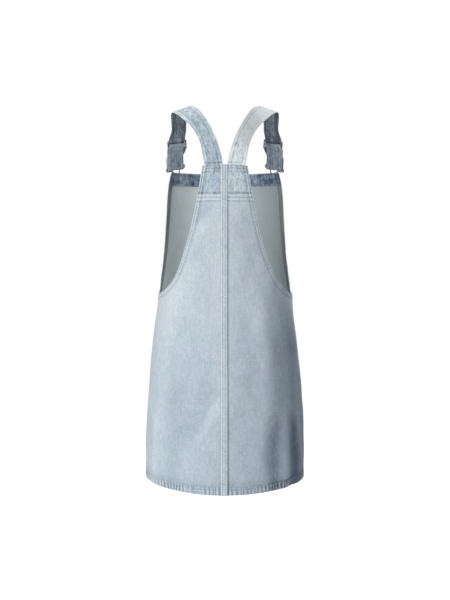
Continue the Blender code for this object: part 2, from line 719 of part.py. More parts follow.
def slider(name, side):
    """A three-bar slider: a frame of two rails and two bars, with a third bar across its middle."""
    across, up, front = buckle_axes()
    half_width = (SLIDER_INSIDE + SLIDER_RAIL) / 2
    half_height = (SLIDER_HEIGHT - SLIDER_BAR) / 2
    corners = [(half_width, half_height, SLIDER_CORNER), (half_width, -half_height, SLIDER_CORNER),
               (-half_width, -half_height, SLIDER_CORNER), (-half_width, half_height, SLIDER_CORNER)]

    def place(point):
        return buckle_point(point.y, 0.0, point.x)

    def radius(point):
        on_rail = abs(point.x) > half_width - GAP
        return (SLIDER_RAIL if on_rail else SLIDER_BAR) / 2

    rings = bent_wire(rounded(corners), place, radius, SLIDER_BAR / 2, front)
    frame = loft(name, [flip(ring, side) for ring in rings], METAL, closed=True)
    bar = []
    for reach in (-half_width, half_width):
        bar.append([place(Vector((reach, 0.0))) + (up * math.cos(a) + front * math.sin(a)) * SLIDER_BAR / 2
                    for a in (2 * math.pi * (k + 0.5) / WIRE_SIDES for k in range(WIRE_SIDES))])
    middle = loft(name + "_bar", [flip(ring, side) for ring in bar], METAL)
    middle.hide_render = True
    middle.display_type = "WIRE"
    join = frame.modifiers.new("middle bar", "BOOLEAN")
    join.operation = "UNION"
    join.solver = "EXACT"
    join.object = middle


def clasp_axes():
    """The clasp's bar's middle, its direction along the bar and its direction down to the keyhole."""
    across, up, front = buckle_axes()
    tilt = math.radians(CLASP_TILT)
    lift = math.sin(tilt) * (CLASP_WIDTH - WIRE) / 2
    middle = buckle_point(-FOLD_DROP + lift, 0.0, FOLD_SHIFT)
    along = across * math.cos(tilt) - up * math.sin(tilt)
    down = -up * math.cos(tilt) - across * math.sin(tilt)
    return middle, along, down, front


def clasp(name, side):
    """A clasp of bent wire: a bar for the strap, shoulders, and a keyhole that hooks round the button."""
    middle, along, down, front = clasp_axes()
    half, slot = CLASP_WIDTH / 2, KEYHOLE_RADIUS
    end = CLASP_SHANK_DROP + slot
    at_bar, at_shoulder, at_neck = CLASP_BENDS
    right = [(half, 0.0, at_bar), (half, CLASP_SIDE, at_shoulder), (slot, CLASP_NECK, at_neck),
             (slot, end, KEYHOLE_BEND)]
    corners = right + [(-x, y, bend) for x, y, bend in reversed(right)]

    def place(point):
        return middle + along * point.x + down * point.y

    rings = bent_wire(rounded(corners), place, lambda point: WIRE / 2, WIRE / 2, front)
    loft(name, [flip(ring, side) for ring in rings], METAL, closed=True)


def button(name, side):
    """The button on the bib that the clasp hooks on: a foot, a shank and a low domed head."""
    middle, along, down, front = clasp_axes()
    shank = middle + down * CLASP_SHANK_DROP
    foot = -BUTTON_REACH
    under = WIRE / 2 + GAP
    profile = [(BUTTON_FOOT, foot), (BUTTON_FOOT, foot + BUTTON_FOOT_HIGH),
               (BUTTON_SHANK, foot + BUTTON_FOOT_HIGH), (BUTTON_SHANK, under)]
    profile += [(BUTTON_HEAD * share, under + up) for share, up in BUTTON_DOME]
    rings = []
    for size, out in profile:
        ring = [shank + front * out + (along * math.cos(a) + down * math.sin(a)) * size / 2
                for a in (2 * math.pi * k / BUTTON_SIDES for k in range(BUTTON_SIDES))]
        rings.append(flip(ring, side))
    loft(name, rings, METAL)


# === Build ========================================================================================
for thing in list(bpy.data.objects):
    bpy.data.objects.remove(thing, do_unlink=True)

back = back_panels()
yokes()
centre_seam(back)
front_panel()
for side_name, way in (("right", 1), ("left", -1)):
    strap("strap_" + side_name, way)
    slider("slider_" + side_name, way)
    clasp("clasp_" + side_name, way)
    button("button_" + side_name, way)
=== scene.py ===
"""Looks for a denim pinafore dress that is filled out as if worn, seen from behind.

Every piece is a finer form of the solid of the same name, in the solid's own place: metres, +Z up, the
back at -Y. Cloth is found by an angle round the dress's tube, measured from centre back, a height, and
a distance out from the cloth's face.
"""
import math
from collections import namedtuple

import bmesh
import bpy
import numpy as np
from mathutils import Matrix, Vector


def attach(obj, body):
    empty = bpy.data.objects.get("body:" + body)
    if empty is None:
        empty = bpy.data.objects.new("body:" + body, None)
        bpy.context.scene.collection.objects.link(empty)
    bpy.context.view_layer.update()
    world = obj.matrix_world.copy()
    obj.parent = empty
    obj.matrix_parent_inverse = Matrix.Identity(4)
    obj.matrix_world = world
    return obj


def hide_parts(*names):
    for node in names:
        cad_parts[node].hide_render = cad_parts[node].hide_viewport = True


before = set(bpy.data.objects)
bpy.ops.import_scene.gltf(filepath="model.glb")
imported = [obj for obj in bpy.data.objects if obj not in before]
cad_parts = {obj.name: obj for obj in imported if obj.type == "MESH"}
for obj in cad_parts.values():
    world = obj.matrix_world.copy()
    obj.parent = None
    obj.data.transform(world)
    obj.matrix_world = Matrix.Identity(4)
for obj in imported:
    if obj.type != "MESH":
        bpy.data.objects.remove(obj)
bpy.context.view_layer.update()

scene = bpy.context.scene

# === Camera, light and floor ======================================================================
# The dress floats as in a shop's cut-out picture: a white room that is brighter behind the camera, one
# broad soft light from the camera's left, a small one above, one for the dress's far side, and a pale
# floor that fades into the white.
CAMERA_PLACE = (0.0, -1.875, -0.347)
CAMERA_TILT = 2.405       # degrees down
LENS = 50.0               # millimetres, on a 36 mm film
FLOOR_HEIGHT = -1.30
FLOOR_RADIUS = 3.4
FLOOR_SOLID = 0.8         # the floor is whole up to this far from the middle
FLOOR_GLOW = 0.10         # its own light, and how much more of it the camera sees
FLOOR_GLOW_SEEN = 0.65
BRIGHT_SIDE = (-0.14, -0.86, 0.48)        # the room is brightest this way
ROOM_LIGHT = (0.19, 0.675)                # its light on the dress, from its other side and from this one
ROOM_TINT = (0.93, 0.97, 1.0, 1)
DRESS_MIDDLE = (0, 0, -0.45)

lens = bpy.data.cameras.new("camera")
lens.lens = LENS
lens.sensor_width = 36.0
camera = bpy.data.objects.new("camera", lens)
camera.location = CAMERA_PLACE
camera.rotation_euler = (math.radians(90 - CAMERA_TILT), 0, 0)
scene.collection.objects.link(camera)
scene.camera = camera
scene.view_settings.view_transform = "Standard"


def add_light(name, place, aim, size, power, colour):
    """A square soft light that faces a point."""
    lamp = bpy.data.lights.new(name, "AREA")
    lamp.size = size
    lamp.energy = power
    lamp.color = colour
    thing = bpy.data.objects.new(name, lamp)
    thing.location = place
    thing.rotation_euler = (Vector(aim) - Vector(place)).to_track_quat("-Z", "Y").to_euler()
    scene.collection.objects.link(thing)


add_light("key_light", place=(-2.07, -2.07, 0.35), aim=DRESS_MIDDLE, size=1.2, power=60,
          colour=(1.0, 0.985, 0.955))
add_light("top_light", place=(0.35, -0.65, 1.9), aim=(0, 0, 0), size=0.9, power=12, colour=(1.0, 1.0, 1.0))
add_light("far_side_light", place=(1.3, 2.5, 0.6), aim=DRESS_MIDDLE, size=1.4, power=58,
          colour=(1.0, 0.99, 0.97))


def add_node(tree, kind, inputs=None, **settings):
    """A node with its settings, and its inputs set to values or joined to other nodes' outputs."""
    made = tree.nodes.new(kind)
    for key, value in settings.items():
        setattr(made, key, value)
    for key, value in (inputs or {}).items():
        if isinstance(value, bpy.types.NodeSocket):
            tree.links.new(value, made.inputs[key])
        else:
            made.inputs[key].default_value = value
    return made


def maths(tree, operation, *values, clamp=False):
    """The result of a sum on numbers or sockets."""
    return add_node(tree, "ShaderNodeMath", dict(enumerate(values)),
                    operation=operation, use_clamp=clamp).outputs[0]


def new_material(name, values):
    """A material, its node tree and its shader, with these values set on the shader's sockets."""
    made = bpy.data.materials.new(name)
    made.use_nodes = True
    shader = made.node_tree.nodes["Principled BSDF"]
    for title, value in values.items():
        shader.inputs[title].default_value = value
    return made, made.node_tree, shader


def white_room():
    """White to the camera, and a dimmer light on the dress."""
    world = bpy.data.worlds.new("room")
    world.use_nodes = True
    tree = world.node_tree
    tree.nodes.clear()
    path = add_node(tree, "ShaderNodeLightPath")
    way = add_node(tree, "ShaderNodeTexCoord").outputs["Generated"]
    bright = Vector(BRIGHT_SIDE).normalized()
    towards = add_node(tree, "ShaderNodeVectorMath", {0: way, 1: bright}, operation="DOT_PRODUCT")
    glow = add_node(tree, "ShaderNodeMapRange",
                    {"Value": towards.outputs["Value"], "From Min": 0.0, "From Max": 1.0,
                     "To Min": ROOM_LIGHT[0], "To Max": ROOM_LIGHT[1]},
                    interpolation_type="SMOOTHSTEP").outputs[0]
    dim = add_node(tree, "ShaderNodeBackground", {"Color": ROOM_TINT, "Strength": glow})
    white = add_node(tree, "ShaderNodeBackground", {"Color": (1, 1, 1, 1), "Strength": 1.0})
    mix = add_node(tree, "ShaderNodeMixShader", {0: path.outputs["Is Camera Ray"], 1: dim.outputs[0],
                                                  2: white.outputs[0]})
    add_node(tree, "ShaderNodeOutputWorld", {"Surface": mix.outputs[0]})
    scene.world = world


def pale_floor():
    """A matt floor that glows a little, and is clear at its rim."""
    made, tree, shader = new_material("pale floor", {"Base Color": (0.86, 0.87, 0.88, 1), "Roughness": 0.9,
                                                     "Emission Color": (1, 1, 1, 1)})
    seen = add_node(tree, "ShaderNodeLightPath").outputs["Is Camera Ray"]
    glow = maths(tree, "MULTIPLY_ADD", seen, FLOOR_GLOW_SEEN, FLOOR_GLOW)
    tree.links.new(glow, shader.inputs["Emission Strength"])
    place = add_node(tree, "ShaderNodeTexCoord").outputs["Object"]
    apart = add_node(tree, "ShaderNodeVectorMath", {0: place, 1: (1, 1, 0)}, operation="MULTIPLY")
    far = add_node(tree, "ShaderNodeVectorMath", {0: apart.outputs[0]}, operation="LENGTH").outputs["Value"]
    fade = add_node(tree, "ShaderNodeMapRange", {"Value": far, "From Min": FLOOR_SOLID,
                                                 "From Max": FLOOR_RADIUS * 0.9, "To Min": 1.0,
                                                 "To Max": 0.0}, interpolation_type="SMOOTHSTEP")
    tree.links.new(fade.outputs[0], shader.inputs["Alpha"])
    return made


white_room()
disc = bmesh.new()
bmesh.ops.create_circle(disc, cap_ends=True, segments=96, radius=FLOOR_RADIUS,
                        matrix=Matrix.Translation((0, 0, FLOOR_HEIGHT)))
floor_mesh = bpy.data.meshes.new("floor")
disc.to_mesh(floor_mesh)
disc.free()
floor_mesh.materials.append(pale_floor())
floor = bpy.data.objects.new("floor", floor_mesh)
scene.collection.objects.link(floor)

# === Back panels ==================================================================================
# The two lower back panels: one layer of light washed twill each, cut from the yoke seam to the hem.
# Their armhole edges are turned in and double-stitched, and the hem is turned up and stitched once.
CHART = 0.140             # an angle times this is about a distance round the tube
CLOTH = 0.0012
TURNING = 0.0012          # what a turned-in hem adds
YOKE_SEAM = -0.200
ARMHOLE_FOOT = -0.4115
HEM_AT_SIDE = -0.8215
HEM_DROP = 0.0105         # centre back and front hang this much lower than the sides
ARMHOLE_HEM = 0.011
SKIRT_HEM = 0.015
ARMHOLE_STITCHES = (0.0034, 0.0090)       # rows of stitches, from the armhole's edge
HEM_STITCHES = 0.0128                     # from the hem's edge
SEAM_STITCHES = 0.0039                    # to each side of the yoke seam
SEAM_ALLOWANCE = 0.0112                   # the felled layers below the yoke seam end here
SIDE_ALLOWANCE = 0.0100                   # the side seam's turnings inside
ROUND_EDGE = 0.0011                       # radius of a folded edge
STEP = 0.0010                             # how long the slope at a hem's inner edge is
GROOVE = 0.0007                           # half width of the groove that a row of stitches pulls
ROW_SHADE = 0.0009                        # half width of the darker line along it
HEM_RISE = 0.00022                        # how far a turned-in edge stands proud outside
STITCH_DEPTH = (0.00034, 0.00030)         # how far stitches sink into the outer and the inner face
PUCKER_HEIGHT = (0.00022, 0.00012)        # and how high the puckers beside them stand on each
EDGE_WORN = 0.0013                        # how far in a folded edge is worn pale
ROPING = 0.0083                           # pitch of the hem's slanting puckers
PUCKER = 0.0064                           # of the puckers along an armhole's hem
SEAM_PUCKER = 0.0058                      # and of those along the yoke seam
SEAM_CHART = 0.110                        # as CHART, at the yoke seam
SIDE_SEAM_DEPTH = 0.0006
SIDE_TURNING = 0.0007                     # what its turnings add inside
SIDE_SLACK = 0.00022                      # height of the loose waves beside a side seam
SIDE_SLACK_PITCH = 0.021
WAVES_GROW = 0.10                         # waves are as high as in their table this far below the yoke
LINE_POINTS = 260                         # along an armhole's edge
LINE_STRIDE = 0.002                       # half the length over which a line's direction is read
SMOOTHING = 16                            # points between two rows of a table that a curve goes through
SIDE_NAMES = {1: "right", -1: "left"}
BACK_SEEDS = {1: 2, -1: 9}                # a seed for each side

Section = namedtuple("Section", "height half_width front back")
SECTIONS = [
    Section(-0.106, 0.1470, 0.0950, 0.1020),
    Section(-0.136, 0.1490, 0.1020, 0.1050),      # top of the bib and of the yoke
    Section(-0.196, 0.1505, 0.1130, 0.1100),
    Section(-0.256, 0.1510, 0.1200, 0.1100),      # bust
    Section(-0.320, 0.1506, 0.1175, 0.1085),
    Section(-0.380, 0.1500, 0.1150, 0.1082),      # waist
    Section(-0.430, 0.1514, 0.1145, 0.1100),
    Section(-0.500, 0.1597, 0.1190, 0.1170),
    Section(-0.560, 0.1664, 0.1245, 0.1245),
    Section(-0.630, 0.1725, 0.1300, 0.1310),      # hip
    Section(-0.700, 0.1768, 0.1340, 0.1365),
    Section(-0.760, 0.1788, 0.1370, 0.1400),
    Section(-0.835, 0.1795, 0.1390, 0.1430),      # hem
]
EdgePoint = namedtuple("EdgePoint", "half_width height")
BACK_ARMHOLE = [
    EdgePoint(0.0481, -0.1364),
    EdgePoint(0.0589, -0.1992),
    EdgePoint(0.0687, -0.2483),
    EdgePoint(0.0812, -0.2990),
    EdgePoint(0.0956, -0.3416),
    EdgePoint(0.1114, -0.3762),
    EdgePoint(0.1289, -0.3983),
    EdgePoint(0.1400, -0.4062),
    EdgePoint(0.1480, -0.4103),
]

# Soft ridges (rise > 0) and troughs between two points of the tube
FOLD_FADE = 1.6           # a fold is at full height but for its two ends
Fold = namedtuple("Fold", "top_angle top_height foot_angle foot_height width rise")
FOLDS = [
    # back left: drag line from the yoke to the armhole's foot, and the trough above it
    Fold(-8, -0.235, -38, -0.345, 0.016, 0.0022),
    Fold(-12, -0.215, -27, -0.290, 0.012, -0.0014),
    # back left skirt: long slanting trough, and the ridge below it
    Fold(-4, -0.565, -33, -0.740, 0.020, -0.0030),
    Fold(2, -0.640, -20, -0.800, 0.020, 0.0016),
    Fold(-50, -0.640, -53, -0.840, 0.022, 0.0022),
    Fold(-68, -0.560, -70, -0.840, 0.020, -0.0020),
    # back right: the edge where the cloth turns to the side, then a long hollow and a ridge
    Fold(35, -0.370, 45, -0.720, 0.024, 0.0026),
    Fold(58, -0.400, 62, -0.760, 0.022, -0.0036),
    Fold(76, -0.560, 72, -0.790, 0.016, 0.0022),
    # back right: short waves at the hem
    Fold(35, -0.700, 36, -0.850, 0.012, -0.0022),
    Fold(46, -0.690, 46, -0.850, 0.011, 0.0022),
    Fold(56, -0.700, 55, -0.850, 0.011, -0.0026),
    # front: hollow under the bust to each side, long soft waves to the hem
    Fold(140, -0.290, 118, -0.400, 0.018, 0.0020),
    Fold(-142, -0.290, -120, -0.400, 0.018, 0.0022),
    Fold(158, -0.520, 146, -0.840, 0.024, -0.0036),
    Fold(137, -0.560, 130, -0.840, 0.022, 0.0030),
    Fold(-160, -0.540, -157, -0.840, 0.022, 0.0032),
    Fold(-146, -0.500, -140, -0.840, 0.024, -0.0034),
    Fold(-116, -0.560, -112, -0.840, 0.022, 0.0026),
]
CREASES = [
    # back left: small drags beside the yoke and the armhole
    Fold(-7, -0.222, -16, -0.262, 0.0050, 0.0007),
    Fold(-16, -0.226, -24, -0.268, 0.0055, -0.0008),
    Fold(-20, -0.262, -33, -0.322, 0.0060, 0.0007),
    Fold(-14, -0.300, -30, -0.372, 0.0080, -0.0007),
    Fold(-40, -0.352, -62, -0.392, 0.0060, -0.0006),
    Fold(-34, -0.368, -58, -0.416, 0.0080, 0.0008),
    # back left skirt: streaks beside the long slanting trough
    Fold(-6, -0.600, -26, -0.712, 0.0065, 0.0009),
    Fold(-3, -0.628, -18, -0.724, 0.0060, -0.0007),
    Fold(-20, -0.560, -36, -0.668, 0.0080, -0.0007),
    Fold(-12, -0.745, -22, -0.812, 0.0080, 0.0007),
    Fold(-32, -0.470, -37, -0.600, 0.0090, 0.0005),
    Fold(-42, -0.560, -43, -0.760, 0.0090, -0.0007),
    Fold(-58, -0.460, -60, -0.640, 0.0090, 0.0007),
    Fold(-76, -0.480, -77, -0.700, 0.0080, -0.0006),
    Fold(-62, -0.740, -62, -0.850, 0.0080, 0.0009),
    Fold(-38, -0.760, -39, -0.850, 0.0090, -0.0008),
    # back right
    Fold(8, -0.226, 17, -0.268, 0.0050, 0.0006),
    Fold(15, -0.222, 25, -0.276, 0.0060, -0.0007),
    Fold(20, -0.290, 34, -0.350, 0.0080, 0.0006),
    Fold(38, -0.352, 58, -0.396, 0.0060, 0.0006),
    Fold(12, -0.420, 20, -0.560, 0.0100, -0.0006),
    Fold(24, -0.480, 27, -0.640, 0.0100, 0.0005),
    Fold(14, -0.640, 18, -0.780, 0.0100, -0.0006),
    Fold(27, -0.640, 28, -0.800, 0.0070, 0.0006),
    Fold(49, -0.440, 54, -0.600, 0.0070, 0.0008),
    Fold(66, -0.470, 69, -0.640, 0.0070, -0.0008),
    Fold(70, -0.640, 64, -0.780, 0.0080, 0.0009),
    Fold(62, -0.730, 60, -0.850, 0.0075, 0.0010),
    Fold(74, -0.740, 76, -0.850, 0.0070, -0.0009),
    # front
    Fold(130, -0.300, 108, -0.372, 0.0070, -0.0007),
    Fold(-132, -0.296, -110, -0.366, 0.0070, -0.0008),
    Fold(122, -0.340, 100, -0.404, 0.0070, 0.0008),
    Fold(-124, -0.344, -102, -0.400, 0.0080, 0.0007),
    Fold(160, -0.210, 150, -0.290, 0.0090, 0.0006),
    Fold(-158, -0.200, -150, -0.276, 0.0090, -0.0006),
    Fold(168, -0.400, 160, -0.500, 0.0100, -0.0007),
    Fold(-166, -0.420, -162, -0.540, 0.0100, 0.0006),
    Fold(150, -0.600, 146, -0.760, 0.0090, 0.0008),
    Fold(-150, -0.620, -148, -0.800, 0.0090, -0.0009),
    Fold(122, -0.640, 120, -0.850, 0.0090, -0.0010),
    Fold(-126, -0.660, -128, -0.850, 0.0085, 0.0010),
    Fold(104, -0.480, 106, -0.700, 0.0090, 0.0008),
    Fold(-104, -0.500, -103, -0.720, 0.0090, -0.0008),
]
# Where folds are made paler (rise > 0) or darker, as a table of the same kind: partly wear on their
# ridges, partly painted light and painted shade where they turn to the light and away from it
FOLD_TONE_SHARE = 0.5          # how much of it shows
FOLD_WEAR_AND_SHADING = [
    Fold(-8, -0.235, -38, -0.345, 0.010, 0.3),
    Fold(-20, -0.180, -22, -0.700, 0.032, -0.6),
    Fold(-10, -0.205, -22, -0.262, 0.012, -0.8),
    Fold(-6, -0.590, -30, -0.720, 0.012, -0.6),
    Fold(-2, -0.620, -22, -0.735, 0.006, 0.7),
    Fold(-28, -0.680, -30, -0.745, 0.016, -0.5),
    Fold(-14, -0.640, -17, -0.835, 0.030, -0.4),
    Fold(-58, -0.640, -60, -0.850, 0.010, 0.7),
    Fold(-36, -0.430, -42, -0.600, 0.014, -0.4),
    Fold(-38, -0.560, -40, -0.880, 0.018, -0.9),
    Fold(24, -0.350, 34, -0.720, 0.014, 0.5),
    Fold(54, -0.330, 60, -0.880, 0.038, -1.2),
    Fold(40, -0.430, 46, -0.840, 0.018, -0.6),
    Fold(39, -0.460, 33, -0.860, 0.015, -1.2),
    Fold(70, -0.420, 76, -0.900, 0.034, -2.4),
    Fold(36, -0.660, 38, -0.870, 0.010, -1.5),
    Fold(47, -0.660, 48, -0.850, 0.008, 0.7),
    Fold(58, -0.660, 59, -0.880, 0.013, -2.4),
    Fold(70, -0.540, 66, -0.780, 0.010, 0.9),
    Fold(12, -0.230, 24, -0.330, 0.014, -0.5),
    Fold(18, -0.440, 22, -0.640, 0.020, -0.4),
    Fold(150, -0.520, 142, -0.840, 0.014, 0.8),
    Fold(132, -0.560, 126, -0.840, 0.012, -0.8),
    Fold(-156, -0.540, -152, -0.840, 0.014, 0.8),
    Fold(-146, -0.500, -140, -0.840, 0.012, -0.8),
]
# Waves all round the tube: how many go round, how many a metre down, and how high
Wave = namedtuple("Wave", "around down start height")
WAVES = [
    Wave(9, 3.1, 0.3, 0.00022),
    Wave(13, -4.3, 1.7, 0.00020),
    Wave(17, 6.1, 4.1, 0.00016),
    Wave(22, -8.7, 2.2, 0.00013),
    Wave(5, 11.3, 5.0, 0.00016),
    Wave(29, 13.0, 0.9, 0.00008),
]


def hermite(start, end, leave, arrive, share):
    """A value part of the way from start to end, on a curve with the given slopes there."""
    s2, s3 = share * share, share ** 3
    return ((2 * s3 - 3 * s2 + 1) * start + (s3 - 2 * s2 + share) * leave
            + (3 * s2 - 2 * s3) * end + (s3 - s2) * arrive)


def section_at(height):
    """Half width, front depth and back depth of the tube at heights."""
    rows = np.array(SECTIONS)[::-1]
    height = np.clip(height, rows[0, 0], rows[-1, 0])
    lower = np.clip(np.searchsorted(rows[:, 0], height, side="right") - 1, 0, len(rows) - 2)
    start, end = rows[lower], rows[lower + 1]
    before, after = rows[np.maximum(lower - 1, 0)], rows[np.minimum(lower + 2, len(rows) - 1)]
    span = (end - start)[..., :1]
    share = (np.asarray(height)[..., None] - start[..., :1]) / span
    leave = (end - before) / (end - before)[..., :1] * span
    arrive = (after - start) / (after - start)[..., :1] * span
    sizes = hermite(start, end, leave, arrive, share)
    return sizes[..., 1], sizes[..., 2], sizes[..., 3]


def fold_rise(angle, height, folds):
    """How far folds push the cloth out at points of the tube."""
    rise = np.zeros(np.broadcast(angle, height).shape)
    for fold in folds:
        turn = (angle - math.radians(fold.top_angle) + np.pi) % (2 * np.pi) - np.pi
        x, y = turn * CHART, height - fold.top_height
        line_x = math.radians(fold.foot_angle - fold.top_angle) * CHART
        line_y = fold.foot_height - fold.top_height
        long = math.hypot(line_x, line_y)
        along = (x * line_x + y * line_y) / long ** 2
        beside = np.abs(x * line_y - y * line_x) / long
        fade = np.minimum(1.0, np.sin(np.pi * np.clip(along, 0, 1)) * FOLD_FADE)
        hump = np.cos(np.pi * np.minimum(beside / (4 * fold.width), 0.5)) ** 2
        rise += fold.rise * fade * hump
    return rise


def waves(angle, height):
    """Slight unevenness of cloth that hangs free, less of it near the yoke."""
    total = sum(wave.height * np.sin(wave.around * angle + 2 * np.pi * wave.down * height + wave.start)
                for wave in WAVES)
    return total * np.clip((YOKE_SEAM - height) / WAVES_GROW, 0.25, 1.6)


def tube(angle, height, out=0.0):
    """Points of the cloth: angles round from centre back, heights, distances out from its face."""
    half_width, front, back = section_at(height)
    depth = np.where(np.cos(angle) > 0, back, front)
    x, y = half_width * np.sin(angle), -depth * np.cos(angle)
    normal_x, normal_y = x / half_width ** 2, y / depth ** 2
    size = np.hypot(normal_x, normal_y)
    out = out + fold_rise(angle, height, FOLDS + CREASES) + waves(angle, height)
    return np.stack((x + normal_x / size * out, y + normal_y / size * out,
                     height + np.zeros_like(x)), -1)


def angle_at(x, height, front=False):
    """The angle of the tube's point that lies a distance x to the side of the middle."""
    angle = np.arcsin(np.clip(x / section_at(height)[0], -1, 1))
    return np.pi - angle if front else angle


def hem_height(angle):
    """The height of the skirt's lower edge."""
    return HEM_AT_SIDE - HEM_DROP * np.cos(angle) ** 2


def arc_per_angle(angle, height):
    """Metres round the tube for each radian."""
    half_width, front, back = section_at(height)
    return np.hypot(half_width * np.cos(angle), np.where(np.cos(angle) > 0, back, front) * np.sin(angle))


def smooth(value, start, end):
    """From 0 to 1 as a value goes from start to end, without corners."""
    share = np.clip((value - start) / (end - start), 0, 1)
    return share * share * (3 - 2 * share)


def curve_through(points, count):
    """A count of points, evenly spaced by their first three axes, on a smooth curve through points."""
    points = np.array(points, float)
    ends = np.vstack((2 * points[0] - points[1], points, 2 * points[-1] - points[-2]))
    slopes = (ends[2:] - ends[:-2]) / 2
    share = np.arange(SMOOTHING)[:, None] / SMOOTHING
    fine = [hermite(points[i], points[i + 1], slopes[i], slopes[i + 1], share)
            for i in range(len(points) - 1)]
    fine = np.vstack(fine + [points[-1:]])
    reach = np.concatenate(([0], np.cumsum(np.linalg.norm(np.diff(fine[:, :3], axis=0), axis=1))))
    want = np.linspace(0, reach[-1], count)
    return np.stack([np.interp(want, reach, column) for column in fine.T], -1)


class Line:
    """A run of (angle, height) points that can be read at any distance along it."""

    def __init__(self, points):
        self.points = np.array(points, float)
        places = tube(self.points[:, 0], self.points[:, 1])
        self.reach = np.concatenate(([0], np.cumsum(np.linalg.norm(np.diff(places, axis=0), axis=1))))
        self.length = self.reach[-1]

    def at(self, distance):
        return np.stack([np.interp(distance, self.reach, column) for column in self.points.T], -1)

    def distance_to(self, height):
        """How far along the line its points come down to heights."""
        return np.interp(-np.asarray(height), -self.points[:, 1], self.reach)

    def nearest(self, angle, height):
        """Distances from points of the tube to the line, and how far along it the nearest place is."""
        turn = arc_per_angle(angle, height)
        best = np.full(angle.shape, np.inf)
        along = np.zeros(angle.shape)
        for (a, b), start in zip(zip(self.points, self.points[1:]), self.reach):
            line_x, line_y = (b[0] - a[0]) * turn, b[1] - a[1]
            x, y = (angle - a[0]) * turn, height - a[1]
            long = line_x ** 2 + line_y ** 2
            share = np.clip((x * line_x + y * line_y) / long, 0, 1)
            away = np.hypot(x - share * line_x, y - share * line_y)
            closer = away < best
            best[closer] = away[closer]
            along[closer] = (start + share * np.sqrt(long))[closer]
        return best, along

    def inward(self, distance, way):
        """The directions into the panel and back along the line, in metres across and up."""
        before, after = self.at(distance - LINE_STRIDE), self.at(distance + LINE_STRIDE)
        across = (before[..., 0] - after[..., 0]) * arc_per_angle(*self.at(distance).T)
        up = before[..., 1] - after[..., 1]
        long = np.hypot(across, up)
        return (np.stack((way * np.abs(up), -np.abs(across)), -1) / long[..., None],
                np.stack((across, up), -1) / long[..., None])

    def beside(self, distances, amount, way):
        """Points at an amount in from the line, at distances along it."""
        points = self.at(distances)
        shift = self.inward(distances, way)[0] * amount
        shift[:, 0] /= arc_per_angle(*points.T)
        return points + shift


def armhole(table, front, top):
    """An armhole's edge from a height down to the side seam."""
    points = [(angle_at(row.half_width, row.height, front) * CHART, row.height) for row in table]
    fine = curve_through(points + [(np.pi / 2 * CHART, ARMHOLE_FOOT)], LINE_POINTS)
    fine[:, 0] /= CHART
    first = np.interp(-top, -fine[:, 1], fine[:, 0])
    return Line(np.vstack(([[first, top]], fine[fine[:, 1] < top - 1e-6])))


# Rows and columns inside a hem, from its inner edge to its folded edge
ARMHOLE_COLUMNS = [0.0122, 0.0114, 0.0110, 0.0105, 0.0098, 0.0090, 0.0082, 0.0072, 0.0062, 0.0052, 0.0042,
                   0.0034, 0.0026, 0.0018, 0.0011, 0.0006, 0.0002, 0.0]
HEM_ROWS = [0.0162, 0.0155, 0.0150, 0.0144, 0.0136, 0.0128, 0.0120, 0.0110, 0.0098, 0.0086, 0.0074, 0.0062,
            0.0050, 0.0038, 0.0026, 0.0016, 0.0009, 0.0004, 0.0]
MITRE = 0.060             # rows turn towards the armhole's foot over this length of an edge


def spread(start, end, spacing):
    """Evenly spaced values from start to end, both included."""
    return np.linspace(start, end, max(2, int(round(abs(end - start) / spacing)) + 1))


def half_panel(edge, middle_angle, top, top_rows, columns, row_by_armhole, row_by_side):
    """Angles and heights of half a panel, as rows from its middle out to its armhole and side seam.

    top_rows are depths below the top edge at which the panel has level rows. Further down its rows are
    row_by_armhole apart along the armhole, and row_by_side along the side seam.
    """
    side_angle = edge.points[-1, 0]
    corner = edge.length
    side = Line([(side_angle, ARMHOLE_FOOT), (side_angle, hem_height(side_angle))])
    middle = Line([(middle_angle, top), (middle_angle, hem_height(middle_angle))])
    end = corner + side.length
    first = edge.distance_to(top - top_rows[-1])
    middle_corner = corner * middle.length / end
    by_armhole = spread(first, corner, row_by_armhole)[1:]
    by_side = spread(corner, end - HEM_ROWS[0], row_by_side)[1:]
    in_hem = end - np.array(HEM_ROWS[1:])
    downs = np.concatenate((edge.distance_to(top - np.array(top_rows)), by_armhole, by_side, in_hem))
    middles = np.concatenate((
        top_rows,
        np.interp(by_armhole, (first, corner), (top_rows[-1], middle_corner)),
        np.interp(by_side, (corner, end - HEM_ROWS[0]), (middle_corner, middle.length - HEM_ROWS[0])),
        middle.length - (end - in_hem)))
    inward = -1 if middle_angle < 1 else 1
    arrival = inward * edge.inward(corner, inward)[0][0]
    lean = math.sqrt((1 - arrival) / (1 + arrival))      # 1 where the edge meets the side at a right angle
    angles, heights = [], []
    for index, (down, depth) in enumerate(zip(downs, middles)):
        on_side = down > corner
        point = side.at(down - corner) if on_side else edge.at(down)
        turn = arc_per_angle(*point)
        normal, along = np.array((inward, 0.0)), np.zeros(2)
        if on_side:
            along = np.array((0.0, -1.0))
        elif index >= len(top_rows):
            normal, along = edge.inward(down, inward)
        slide = lean * max(0.0, 1 - abs(down - corner) / MITRE)
        start = middle.at(depth)
        band = point + np.array(ARMHOLE_COLUMNS)[:, None] * (normal + along * slide) / (turn, 1.0)
        share = np.linspace(0, 1, columns + 1)[:-1, None]
        row = np.vstack((start + (band[0] - start) * share, band))
        if on_side:
            # rows bend to the hem's own curve as they come down to it
            level = smooth(down, corner + MITRE, end - HEM_ROWS[0])
            curved = hem_height(row[:, 0]) + end - down
            row[:, 1] += (curved - row[:, 1]) * level
        angles.append(row[:, 0])
        heights.append(row[:, 1])
    return np.array(angles), np.array(heights)


